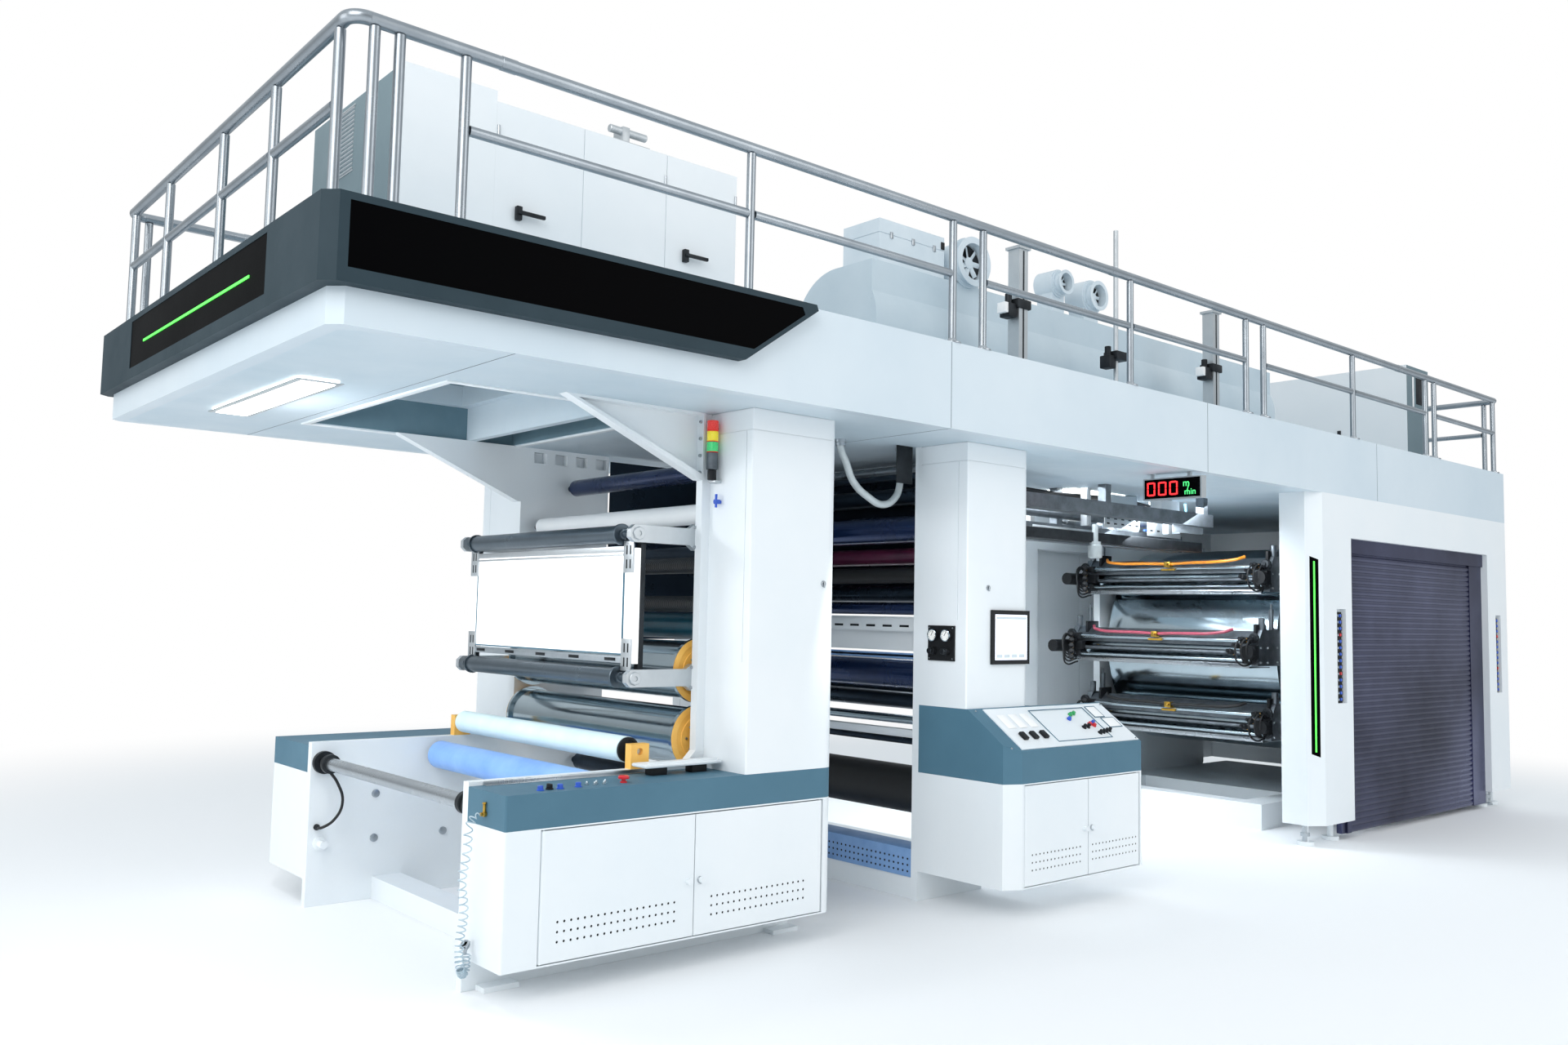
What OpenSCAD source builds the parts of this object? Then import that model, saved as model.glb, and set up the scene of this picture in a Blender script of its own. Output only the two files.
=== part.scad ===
// Bridge-type flexographic printing press with a raised service platform.
// Design axes: X from the unwinder end, Y back from the unwinder front, Z up from the floor.
// Every piece is moved so that the origin is the middle of the footprint at floor level.

/* [Bridge platform] */
// X of the left end of the bridge beam
deck_left = -815; // [-1200:5:-400]
// X of the right end of the bridge beam
deck_right = 9200; // [8000:10:10000]
// Y of the front face of the bridge beam
deck_front = -240; // [-400:5:-100]
// Y of the rear face of the bridge beam
deck_rear = 2700; // [2400:10:3000]
// height of the underside of the bridge
soffit_z = 2360; // [2100:10:2600]
// depth of the bridge beam
beam_h = 420; // [300:5:500]
// height of the parapet above the walking surface
parapet_h = 80; // [40:5:150]
// thickness of the box fascia
fascia_t = 60; // [20:1:100]
// how far the dark trim band stands out of the fascia
trim_t = 50; // [20:1:80]
// height of the dark trim band
trim_h = 295; // [200:5:400]
// X of the upper tip of the trim band
trim_tip_x = 1240; // [800:10:2000]
// chamfer on the platform corners
corner_c = 45; // [10:1:100]

/* [Guard rail] */
// height of the top rail above the beam
rail_h = 650; // [500:10:1100]
// diameter of the top rail
rail_d = 48; // [30:1:60]
// diameter of the posts and middle rail
post_d = 38; // [20:1:50]
// distance of the rail line in from the beam faces
rail_in = 35; // [20:1:80]

/* [Side frames] */
// Y of the inner face of the operator side frame
web_front = 344; // [300:1:400]
// clear distance between the side frames
web_w = 1622; // [1200:1:2000]
// thickness of the side frame plates
frame_t = 44; // [20:1:80]
// height of the low part of the unwinder side frames
arm_z = 790; // [600:5:1000]
// Y of the rear of the drive side cabinet
drive_rear = 2495; // [2200:5:2600]

/* [Unwinder cabinet] */
// length of the cabinets on both sides of the unwinder
cab_l = 1650; // [1200:10:2000]
// underside of the cabinets above the floor
cab_z0 = 131; // [50:1:200]
// height where the dark counter starts
counter_z0 = 642; // [500:1:800]
// top of the counter
counter_z1 = 774; // [600:1:900]
// width left of the first door
door_in = 150; // [100:5:300]
// width of the first door opening
door_w = 720; // [500:5:800]
// width right of the second door
door_out = 65; // [20:5:120]

/* [Towers] */
// width of the first tower
tower1_w = 520; // [400:5:700]
// X of the left side of the second tower
tower2_x = 2530; // [2200:5:3000]
// width of the second tower
tower2_w = 510; // [400:5:700]
// how far the second tower stands forward of the cabinet front
tower2_fwd = 20; // [0:1:60]
// height of the cap seam on the towers
cap_z = 2261; // [2000:1:2340]

/* [Console] */
// width of the console
console_w = 1115; // [800:5:1400]
// Y of the console front
console_y = -301; // [-400:1:-200]
// underside of the console above the floor
console_z0 = 153; // [50:1:200]
// height where the dark console hood starts
hood_z0 = 658; // [500:1:800]
// height of the console front edge
hood_z1 = 815; // [700:1:900]
// height of the console back edge
hood_z2 = 1005; // [900:1:1100]

/* [Portal] */
// X of the left side of the portal leg
portal_x = 5795; // [5000:5:6500]
// X of the left side of the shutter opening
shutter_x0 = 6320; // [6000:5:6800]
// X of the right side of the shutter opening
shutter_x1 = 8790; // [8000:5:9000]
// height of the shutter opening
shutter_z = 2070; // [1800:5:2300]
// underside of the portal legs above the floor
portal_z0 = 136; // [50:1:200]
// depth of the portal legs
portal_d = 250; // [150:5:400]
// height of one shutter slat
slat_h = 40; // [30:1:120]

/* [Printing unit] */
// X of the impression drum axis
drum_x = 7340; // [7000:10:8000]
// height of the impression drum axis
drum_z = 1270; // [1000:10:1500]
// radius of the impression drum
drum_r = 800; // [600:5:1000]
// height step between the printing decks
deck_step = 540; // [400:5:640]
// radius of the plate cylinders
plate_r = 88; // [60:1:120]
// radius of the anilox rolls
anilox_r = 80; // [50:1:100]

/* [Rooftop] */
// Y of the front of the left electrical cabinet
locker_y = 500; // [300:10:900]
// height of the left electrical cabinet above the walking surface
locker_h = 890; // [600:5:2000]
// depth of the left electrical cabinet
locker_d = 980; // [400:10:1200]
// height of the round pole above the floor
pole_top = 3926; // [3400:1:4400]
// width of the lift columns
column_w = 80; // [50:1:120]
// Y of the front of the dryer tunnel
tunnel_y = 700; // [500:10:1000]
// X of the left end of the dryer tunnel
tunnel_x0 = 2534; // [2000:10:3000]
// X of the right end of the dryer tunnel
tunnel_x1 = 7015; // [6000:10:8000]
// height of the top of the dryer tunnel
tunnel_z = 3466; // [3200:5:3800]
// depth of the dryer tunnel
tunnel_d = 640; // [400:10:1000]

/* [Hidden] */
deck_top = soffit_z + beam_h;
walk_z = deck_top - parapet_h;
web_rear = web_front + web_w;
plate_y0 = web_front - frame_t;
plate_y1 = web_rear + frame_t;
door_x0 = door_in;
door_x1 = door_in + door_w;
door_x2 = cab_l - door_out;
tower1_x = cab_l - tower1_w;
lock_out = 20;
front_most = console_y - lock_out;
rear_most = deck_rear + trim_t;
centre_x = (deck_left - trim_t + deck_right) / 2;
centre_y = (front_most + rear_most) / 2;
rail_z = deck_top + rail_h - rail_d / 2;
mid_z = deck_top + 0.53 * rail_h;
rail_front = deck_front + rail_in;
rail_rear = deck_rear - rail_in;
rail_left = deck_left + rail_in;
rail_right = deck_right - rail_in;
gap = 0.3;
door_gap = 5;
door_t = 22;
sheet = 8;
$fn = 64;

// Moves a piece from the design axes to the middle of the footprint.
module placed() translate([-centre_x, -centre_y, 0]) children();

// A box given by its two corners.
module box(a, b) translate(a) cube(b - a);

// A plate with its outline drawn in X and Z, from y0 to y1.
module plate_y(y0, y1) translate([0, y1, 0]) rotate([90, 0, 0]) linear_extrude(y1 - y0) children();

// A plate with its outline drawn in Y and Z, from x0 to x1.
module plate_x(x0, x1) translate([x0, 0, 0]) rotate([90, 0, 90]) linear_extrude(x1 - x0) children();

// A plate with its outline drawn in X and Y, from z0 to z1.
module plate_z(z0, z1) translate([0, 0, z0]) linear_extrude(z1 - z0) children();

// A round bar along Y at x and z.
module bar_y(x, z, y0, y1, d) translate([x, y1, z]) rotate([90, 0, 0]) cylinder(d = d, h = y1 - y0);

// A round bar along X at y and z.
module bar_x(y, z, x0, x1, d) translate([x0, y, z]) rotate([0, 90, 0]) cylinder(d = d, h = x1 - x0);

// A round bar along Z at x and y.
module bar_z(x, y, z0, z1, d) translate([x, y, z0]) cylinder(d = d, h = z1 - z0);

// Plan of a casing between x0 and x1 with rounded front corners.
module round_front(x0, x1, y0, y1, rl, rr) {
    translate([x0 + rl, y0]) square([x1 - x0 - rl - rr, y1 - y0]);
    translate([x0, y0 + rl]) square([rl, y1 - y0 - rl]);
    translate([x1 - rr, y0 + rr]) square([rr, y1 - y0 - rr]);
    translate([x0 + rl, y0 + rl]) circle(r = rl);
    translate([x1 - rr, y0 + rr]) circle(r = rr);
}

// Mirrors a piece of the operator side to the drive side, about the middle of the web.
module to_rear() translate([0, web_front + web_rear, 0]) mirror([0, 1, 0]) children();

// Mirrors a piece about the middle of the platform.
module across() translate([0, deck_front + deck_rear, 0]) mirror([0, 1, 0]) children();

// A web roller with journals that reach both side frames.
module web_roller(x, z, d, journal_d = 36, inset = 60, end_gap = gap) {
    bar_y(x, z, web_front + inset, web_rear - inset, d);
    bar_y(x, z, web_front + end_gap, web_rear - end_gap, journal_d);
}

// Outline of the platform with chamfered left corners, grown by g.
module platform_outline(g) {
    x0 = deck_left - g;
    y0 = deck_front - g;
    y1 = deck_rear + g;
    c = corner_c;
    polygon([[x0 + c, y0], [deck_right, y0], [deck_right, y1], [x0 + c, y1], [x0, y1 - c], [x0, y0 + c]]);
}

// Space inside the box fascia.
module inner_outline() difference() {
    platform_outline(-fascia_t);
    translate([deck_right - fascia_t, deck_front]) square([fascia_t + 1, deck_rear - deck_front]);
}

well_x0 = -74;
well_x1 = 1040;
well_y0 = 440;
well_y1 = 2000;
well_h = 176;
well_beam_x = 762;
well_beam_w = 44;
hatch_h = 290;

// Walking deck and soffit with the well over the unwinder.
module platform_deck() color("white") placed() difference() {
    plate_z(soffit_z, walk_z) inner_outline();
    box([well_x0, well_y0, soffit_z - 1], [well_beam_x, well_y1, soffit_z + well_h]);
    box([well_x0 + 40, well_y0 + 60, soffit_z], [well_beam_x - 60, well_y1 - 60, soffit_z + hatch_h]);
    box([well_beam_x + well_beam_w, well_y0, soffit_z - 1], [well_x1, well_y1, soffit_z + hatch_h]);
}

// Box fascia round the platform.
module platform_fascia() color("white") placed() plate_z(soffit_z, deck_top) difference() {
    platform_outline(0);
    inner_outline();
}

trim_z0 = deck_top - trim_h;
trim_low_x = 848;
panel_t = 8;
panel_z0 = 2535;
panel_z1 = 2755;
panel_left = -785;
panel_tip = 1165;
panel_low = 890;
end_panel_y0 = 262;
end_panel_y1 = 2140;

// Side outline of the trim band with its slanted end.
module trim_side() {
    polygon([[deck_left - 200, trim_z0], [trim_low_x, trim_z0], [trim_tip_x, deck_top - 25],
        [trim_tip_x - 10, deck_top], [deck_left - 200, deck_top]]);
}

// Outline of the black panel on the long side.
module panel_side() {
    polygon([[panel_left, panel_z0], [panel_low, panel_z0], [panel_tip, panel_z1 - 30],
        [panel_tip - 15, panel_z1], [panel_left, panel_z1]]);
}

// Dark band round the left end of the platform, with pockets for the panels.
module fascia_trim() color("slategray") placed() difference() {
    intersection() {
        plate_z(trim_z0, deck_top) difference() {
            platform_outline(trim_t);
            platform_outline(0);
        }
        plate_y(deck_front - trim_t - 1, deck_rear + trim_t + 1) trim_side();
    }
    plate_y(deck_front - trim_t - 1, deck_front - trim_t + panel_t) panel_side();
    plate_y(deck_rear + trim_t - panel_t, deck_rear + trim_t + 1) panel_side();
    box([deck_left - trim_t - 1, end_panel_y0, panel_z0],
        [deck_left - trim_t + panel_t, end_panel_y1, panel_z1]);
}

// Gloss panels set into the trim band.
module trim_panels() color("black") placed() {
    plate_y(deck_front - trim_t + 2, deck_front - trim_t + panel_t) panel_side();
    plate_y(deck_rear + trim_t - panel_t, deck_rear + trim_t - 2) panel_side();
    box([deck_left - trim_t + 2, end_panel_y0, panel_z0],
        [deck_left - trim_t + panel_t, end_panel_y1, panel_z1]);
    on_chamfer() strip_panel();
    across() on_chamfer() strip_panel();
}

led_h = 10;
led_d = 3;
strip_in = 22;
strip_w = 64;
strip_z0 = 585;
strip_z1 = 1925;
portal_cx = 105;
portal_cy = 73;
strip_a = atan(portal_cy / portal_cx);

// Black strip let into the portal chamfer, with slanted ends.
module strip_panel(grow = 0) plate_y(0, panel_t + grow) polygon([[-strip_w / 2, strip_z0 + strip_in],
    [strip_w / 2, strip_z0], [strip_w / 2, strip_z1 - strip_in], [-strip_w / 2, strip_z1]]);

// Places children on the middle of the portal chamfer, X along it and Y into the leg.
module on_chamfer() translate([portal_x + portal_cx / 2, deck_front + portal_cy / 2, 0])
    rotate([0, 0, -strip_a]) children();

led_in = 35;

// Line of light along the black strip of the portal.
module strip_line() on_chamfer() translate([-led_h / 2, -led_d, strip_z0 + led_in])
    cube([led_h, led_d, strip_z1 - strip_z0 - 2 * led_in]);

// Thin green lines of light on the end panel and the portal leg.
module led_lines() color("lime") placed() {
    box([deck_left - trim_t + 2 - led_d, 442, 2628], [deck_left - trim_t + 2, 1911, 2628 + led_h]);
    strip_line();
    across() strip_line();
}

light_h = 14;

// Flat lights under the platform.
module soffit_lights() color("lightyellow") placed() {
    box([-560, 760, soffit_z - light_h], [-400, 1900, soffit_z]);
    for (x = [3400, 4700]) box([x, 900, soffit_z - light_h], [x + 600, 1700, soffit_z]);
}

post_x = [-612, -370, 921, 2189, 2413, 3691, 4969, 5190, 6456, 7698, 7868];
span_ends = [[2, 3], [3, 4], [5, 6], [6, 7], [8, 9], [9, 10], [11, 12]];
bend_r = 60;
corner_in = bend_r + post_d / 2 + 1;
rail_x = concat([rail_left + corner_in], post_x, [rail_right - corner_in]);

// One straight side of the guard rail at y.
module rail_side(y) {
    bar_x(y, rail_z, rail_left + bend_r + gap, rail_right - bend_r - gap, rail_d);
    for (x = rail_x) bar_z(x, y, deck_top, rail_z - rail_d / 2 - gap, post_d);
    for (s = span_ends)
        bar_x(y, mid_z, rail_x[s[0]] + post_d / 2 + gap, rail_x[s[1]] - post_d / 2 - gap, post_d);
}

end_post_in = [95, 720, 1346];

// Cross rail at x between the two long sides.
module rail_end(x) {
    y0 = rail_front + bend_r + gap;
    y1 = rail_rear - bend_r - gap;
    posts = [for (i = [0:4]) i < 3 ? rail_front + end_post_in[i] : rail_rear - end_post_in[4 - i]];
    bar_y(x, rail_z, y0, y1, rail_d);
    for (y = posts) bar_z(x, y, deck_top, rail_z - rail_d / 2 - gap, post_d);
    for (i = [1:len(posts) - 1])
        bar_y(x, mid_z, posts[i - 1] + post_d / 2 + gap, posts[i] - post_d / 2 - gap, post_d);
}

// Quarter bend of the top rail from the side at y to the end at x.
module rail_bend(x, y, turn) translate([x, y, rail_z]) rotate([0, 0, turn]) translate([bend_r, bend_r, 0])
    rotate([0, 0, 180]) rotate_extrude(angle = 90) translate([bend_r, 0]) circle(d = rail_d);

// Guard rails round the whole platform.
module guard_rails() color("silver") placed() {
    rail_side(rail_front);
    rail_side(rail_rear);
    for (x = [rail_left, rail_right]) rail_end(x);
    rail_bend(rail_left, rail_front, 0);
    rail_bend(rail_right, rail_front, 90);
    rail_bend(rail_right, rail_rear, 180);
    rail_bend(rail_left, rail_rear, 270);
}

frame_step = 45;
frame_x = tower1_x - frame_step;
gusset_l = 694;
gusset_x = frame_x - gusset_l;
gusset_z = 2076;

// Side outline of the unwinder frame with its tower part.
module frame_side() {
    polygon([[0, 0], [cab_l, 0], [cab_l, soffit_z], [frame_x, soffit_z], [frame_x, arm_z + 60],
        [frame_x - 60, arm_z], [0, arm_z]]);
}

// Operator side frame of the unwinder.
module unwinder_frame_front() color("white") placed() plate_y(plate_y0, web_front) frame_side();

gusset_t = 12;
flange_w = 60;

// A bolted gusset: a web plate with flanges along the soffit, the frame and the slope.
module gusset() {
    y1 = web_front;
    plate_y(y1 - gusset_t, y1) polygon([[gusset_x, soffit_z], [frame_x, soffit_z], [frame_x, gusset_z]]);
    box([gusset_x, y1 - flange_w, soffit_z - gusset_t], [frame_x, y1, soffit_z]);
    box([frame_x - gusset_t, y1 - flange_w, gusset_z - 20], [frame_x, y1, soffit_z]);
    plate_y(y1 - flange_w, y1) polygon([[gusset_x, soffit_z], [gusset_x - 30, soffit_z],
        [frame_x - 20, gusset_z - 20],
        [frame_x, gusset_z - 20], [frame_x, gusset_z]]);
}

// Sloping gussets that tie the platform to the unwinder frames.
module gussets() color("white") placed() {
    gusset();
    to_rear() gusset();
}

window_w = 77;
window_pitch = 134;
window_z0 = 2278;
window_h = 60;

// Drive side frame of the unwinder with four small windows.
module unwinder_frame_rear() color("white") placed() difference() {
    plate_y(web_rear, plate_y1) frame_side();
    for (i = [0:3]) translate([tower1_x + 30 + i * window_pitch, web_rear - 1, window_z0])
        cube([window_w, frame_t + 2, window_h]);
}

// Frame plate of the infeed unit behind the second tower.
module infeed_plate(y0, y1) box([tower2_x, y0, 0], [tower2_x + tower2_w, y1, soffit_z]);
module infeed_frames() color("white") placed() {
    infeed_plate(plate_y0, web_front);
    infeed_plate(web_rear, plate_y1);
}

groove = 4;

corner_r = 60;
edge_r = 8;

// Thin seam round the outside of a casing at height z.
module seam_ring(x0, x1, y0, y1, z) difference() {
    box([x0 - 1, y0 - 1, z], [x1 + 1, y1 + 1, z + groove]);
    box([x0 + groove, y0 + groove, z - 1], [x1 - groove, y1 - groove, z + groove + 1]);
}

// Tower casing with a rounded corner, a cap seam and a door seam.
module tower(x0, w, y0, z0, door_x, foot_z) difference() {
    plate_z(z0, soffit_z) round_front(x0, x0 + w, y0, plate_y0, edge_r, corner_r);
    seam_ring(x0, x0 + w, y0, plate_y0, cap_z);
    seam_ring(x0, x0 + w, y0, plate_y0, soffit_z - groove);
    box([x0 - 1, door_x, foot_z], [x0 + groove, door_x + groove, cap_z]);
}
module first_towers() color("white") placed() {
    tower(tower1_x, cab_l - tower1_x, 0, counter_z1, 40, 1250);
    to_rear() tower(tower1_x, cab_l - tower1_x, plate_y1 - drive_rear + plate_y0, counter_z1, -100, 1250);
}
module second_towers() color("white") placed() {
    tower(tower2_x, tower2_w, -tower2_fwd, hood_z2, 40, 1450);
    to_rear() tower(tower2_x, tower2_w, plate_y1 - drive_rear + plate_y0, console_z0, -100, 300);
}

pin_r = 4;
pin_h = 20;
sill = 6;

// Plan of the operator cabinet.
module cabinet_plan() round_front(0, cab_l, 0, plate_y0, edge_r, corner_r);

// Hinge pins for a door from z0 to z1 with its pivot at x and y.
module hinge_pins(x, y, z0, z1) {
    bar_z(x, y, z0, z0 + pin_h, pin_r * 2);
    bar_z(x, y, z1 - pin_h, z1, pin_r * 2);
}

// Open-front cabinet shell behind the two doors.
module unwinder_cabinet() color("white") placed() {
    difference() {
        plate_z(cab_z0, counter_z0) cabinet_plan();
        box([sheet, door_t + door_gap, cab_z0 + sill],
            [cab_l - corner_r, plate_y0 - sheet, counter_z0 - sill]);
        box([door_x0, -1, cab_z0 + sill], [door_x2, door_t + door_gap + 1, counter_z0 - sill]);
    }
    hinge_pins(door_x0 + door_gap + door_t / 2, door_t / 2, cab_z0 + sill, counter_z0 - sill);
    hinge_pins(door_x2 - door_gap - door_t / 2, door_t / 2, cab_z0 + sill, counter_z0 - sill);
}

// Plan of the drive side cabinet, drawn on the operator side.
module drive_plan() round_front(0, cab_l, plate_y1 - drive_rear + plate_y0, plate_y0, edge_r, corner_r);

// Dark counters on both cabinets.
module counters() color("slategray") placed() {
    plate_z(counter_z0, counter_z1) cabinet_plan();
    to_rear() plate_z(counter_z0, counter_z1) drive_plan();
}

vent_d = 10;
vent_pitch = 30;
vent_rise = 37;
lock_d = 26;

// A door leaf from x0 to x1 at the front face y, with its hinge on the side given by hinge.
// The perforated field keeps vent_in clear at both sides and is moved along X by vent_shift.
module door_leaf(x0, x1, y, z0, z1, hinge, vent_in, vent_shift, lock_z) {
    n = floor((x1 - x0 - 2 * vent_in) / vent_pitch) + 1;
    vent_x = (x0 + x1) / 2 + vent_shift;
    r = door_t / 2;
    hx = hinge < 0 ? x0 + r : x1 - r;
    free_x = hinge < 0 ? x1 : x0;
    difference() {
        union() {
            box([min(hx, free_x), y, z0], [max(hx, free_x), y + door_t, z1]);
            bar_z(hx, y + r, z0, z1, door_t);
            translate([free_x + hinge * 30, y, lock_z])
                rotate([90, 0, 0]) cylinder(d = lock_d, h = lock_out);
        }
        box([x0 + 25, y + 4, z0 + 25], [x1 - 25, y + door_t + 1, z1 - 25]);
        bar_z(hx, y + r, z0 - 1, z0 + pin_h + 3, (pin_r + gap) * 2);
        bar_z(hx, y + r, z1 - pin_h - 3, z1 + 1, (pin_r + gap) * 2);
        for (i = [0:n - 1], j = [0:2])
            translate([vent_x + (i - (n - 1) / 2) * vent_pitch, y + 5, z0 + 72 + j * vent_rise])
                rotate([90, 0, 0]) cylinder(d = vent_d, h = 6, $fn = 24);
    }
}
door_z0 = cab_z0 + sill + door_gap;
door_z1 = counter_z0 - sill - door_gap;
module unwinder_door_left() color("white") placed()
    door_leaf(door_x0 + door_gap, door_x1 - door_gap / 2, 0, door_z0, door_z1, -1, 80, -8.25, 364);
module unwinder_door_right() color("white") placed()
    door_leaf(door_x1 + door_gap / 2, door_x2 - door_gap, 0, door_z0, door_z1, 1, 90, -9.25, 364);

// Closed cabinet on the drive side.
module drive_cabinet() color("white") placed() to_rear() plate_z(cab_z0, counter_z0) drive_plan();

// Low box beams and a tie between the side frames.
module cross_beams() color("white") placed() {
    box([330, web_front, 0], [480, web_rear, 110]);
    box([1450, web_front, 0], [1600, web_rear, 160]);
    box([2543, web_front, 0], [2700, web_rear, 190]);
    box([2880, web_front, 0], [3040, web_rear, 190]);
    box([2700, web_front, 1380], [2712, web_rear, 1462]);
    box([2740, web_front, 1274], [2752, web_rear, 1386]);
    for (x = [60, 1500]) {
        box([x, 230, 0], [x + 150, plate_y0, 20]);
        to_rear() box([x, 230, 0], [x + 150, plate_y0, 20]);
    }
}

shaft_x = 60;
shaft_z = 692;
shaft_d = 62;
bearing_d = 110;
bearing_t = 26;
journal_d = 40;

// Unwind shaft that carries the web reel.
module unwind_shaft() color("silver") placed() {
    bar_y(shaft_x, shaft_z, web_front + 36, web_rear - 36, shaft_d);
    bar_y(shaft_x, shaft_z, web_front + 6, web_rear - 6, journal_d);
}

// A bearing ring on each side frame.
module bearing_pair(x, z, d) for (y = [web_front, web_rear - bearing_t]) difference() {
    bar_y(x, z, y, y + bearing_t, d);
    bar_y(x, z, y - 1, y + bearing_t + 1, journal_d + 2 * gap);
}

// Bearing rings that hold the turning shafts on both frames.
module shaft_bearings() color("dimgray") placed() {
    bearing_pair(shaft_x, shaft_z, bearing_d);
    bearing_pair(spread_x, spread_z, 90);
    for (z = [nip_z, nip_up_z]) bearing_pair(nip_x, z, 90);
}

spread_x = 650;
spread_z = 700;
layon_x = 790;
layon_z = 862;
layon_d = 112;

// Pale blue lay-on roller in its bearing blocks.
module lay_on_roller() color("lightblue") placed() {
    bar_y(layon_x, layon_z, web_front + 56, web_rear - 26, layon_d);
    bar_y(layon_x, layon_z, web_front - 20, web_rear + 20, 30);
}
module bearing_blocks() color("orange") placed() for (y = [plate_y0, web_rear]) difference() {
    box([layon_x - 46, y, arm_z], [layon_x + 46, y + frame_t, arm_z + 105]);
    bar_y(layon_x, layon_z, y - 1, y + frame_t + 1, 30 + 2 * gap);
}

// Blue spreader roller below the lay-on roller.
module spreader_roller() color("royalblue") placed() {
    bar_y(spread_x, spread_z, web_front + 46, web_rear - 46, 140);
    bar_y(spread_x, spread_z, web_front + 6, web_rear - 6, journal_d);
}

nip_x = 1165;
nip_z = 895;
nip_r = 147;
nip_up_z = nip_z + 2 * nip_r + 8;

// A driven nip roll with coloured end discs.
module nip_roll(z) {
    bar_y(nip_x, z, web_front + 70, web_rear - 70, nip_r * 2 - 30);
    for (y = [web_front + 50, web_rear - 70]) bar_y(nip_x, z, y, y + 20, nip_r * 2);
    bar_y(nip_x, z, web_front + 6, web_rear - 6, journal_d);
}
module nip_roll_lower() color("silver") placed() nip_roll(nip_z);
module nip_roll_upper() color("silver") placed() nip_roll(nip_up_z);

guide_x = 780;
guide_up_z = 1800;
guide_low_z = 1170;
guide_d = 82;
arm_t = 30;
arm_x = 1112;

// A guide roller held by the arms in front of the tower.
module guide_roller(z) {
    bar_y(guide_x, z, web_front + 140, web_rear - 110, guide_d);
    bar_y(guide_x, z, web_front + arm_t / 2, web_rear - arm_t / 2, 34);
}
module guide_roller_upper() color("dimgray") placed() guide_roller(guide_up_z);
module guide_roller_lower() color("dimgray") placed() guide_roller(guide_low_z);

// Arms that carry the guide rollers out in front of the tower.
module roller_arms() color("gainsboro") placed()
    for (z = [guide_up_z, guide_low_z], y = [web_front, web_rear - arm_t])
    difference() {
        plate_y(y, y + arm_t) polygon([[arm_x, z - 60], [arm_x, z + 60], [frame_x, z + 60],
            [frame_x - 30, z + 38], [guide_x - 20, z + 38], [guide_x - 42, z + 18], [guide_x - 42, z - 18],
            [guide_x - 20, z - 38], [frame_x - 30, z - 38], [frame_x, z - 60]]);
        bar_y(guide_x, z, y - 1, y + arm_t + 1, 34 + 2 * gap);
    }

panel_x = 790;

// Lit inspection panel between the guide rollers with its slotted uprights.
module inspection_panel() color("white") placed() {
    box([panel_x, web_front + 120, guide_low_z + 100], [panel_x + 25, web_rear - 110, guide_up_z - 60]);
    for (y = [web_front + arm_t, web_rear - 110])
        box([panel_x, y, guide_low_z + 62], [panel_x + 25, y + 80, guide_up_z - 62]);
    for (y = [web_front + arm_t, web_rear - arm_t - 30])
        box([panel_x + 25, y, guide_low_z - 20], [panel_x + 50, y + 30, guide_up_z + 20]);
}

// axis X, axis height and diameter of each roller of the infeed stack, from the top down
stack = [[2850, 2296, 56], [2710, 2240, 34], [2810, 2139, 100], [2700, 1942, 147], [2820, 1800, 95],
    [2720, 1690, 86], [2800, 1590, 95], [2710, 1503, 62], [2760, 1146, 162], [2830, 996, 92], [2700, 903, 46],
    [2740, 784, 30], [2760, 525, 250]];

// Idler rollers of the unwinder tower and the roller stack of the infeed unit.
module web_idlers() color("dimgray") placed() {
    web_roller(1195, 1917, 94);
    web_roller(1200, 1680, 74);
    web_roller(1205, 1500, 74);
    web_roller(1340, 1395, 120);
    web_roller(1400, 2150, 90);
    web_roller(1500, 1750, 90);
    web_roller(1540, 1100, 110);
    web_roller(1480, 620, 90);
    for (r = stack) web_roller(r[0], r[1], r[2]);
}

console_x1 = tower2_x + console_w;
console_back = -20;
console_cx = 95;
console_cy = 44;
con_in = 110;
con_door_w = 525;
con_left = tower2_x + con_in;
con_seam = con_left + con_door_w;
con_right = console_x1 - 12;

// Plan of the console, with its chamfered left corner.
module console_plan() {
    polygon([[tower2_x, console_y + console_cy], [tower2_x + console_cx, console_y],
        [console_x1, console_y], [console_x1, console_back], [tower2_x + tower2_w, console_back], [tower2_x + tower2_w, plate_y0],
        [tower2_x, plate_y0]]);
}

// White lower body of the console, hollow behind its doors.
module console_body() color("white") placed() {
    difference() {
        plate_z(console_z0, hood_z0) console_plan();
        box([con_left - 60, console_y + door_t + door_gap, console_z0 + sill],
            [con_right, console_back - sheet, hood_z0 - sill]);
        box([con_left, console_y - 1, console_z0 + sill],
            [con_right, console_y + door_t + door_gap + 1, hood_z0 - sill]);
    }
    hinge_pins(con_left + door_gap + door_t / 2, console_y + door_t / 2, console_z0 + sill, hood_z0 - sill);
    hinge_pins(con_right - door_gap - door_t / 2, console_y + door_t / 2, console_z0 + sill, hood_z0 - sill);
}

// Dark upper body of the console with the sloping desk.
module console_hood() color("slategray") placed() intersection() {
    plate_z(hood_z0, hood_z2) console_plan();
    plate_x(tower2_x - 1, console_x1 + 1) polygon([[plate_y0 + 1, hood_z0], [plate_y0 + 1, hood_z2],
        [console_back - 10, hood_z2], [console_y, hood_z1], [console_y, hood_z0]]);
}

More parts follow.
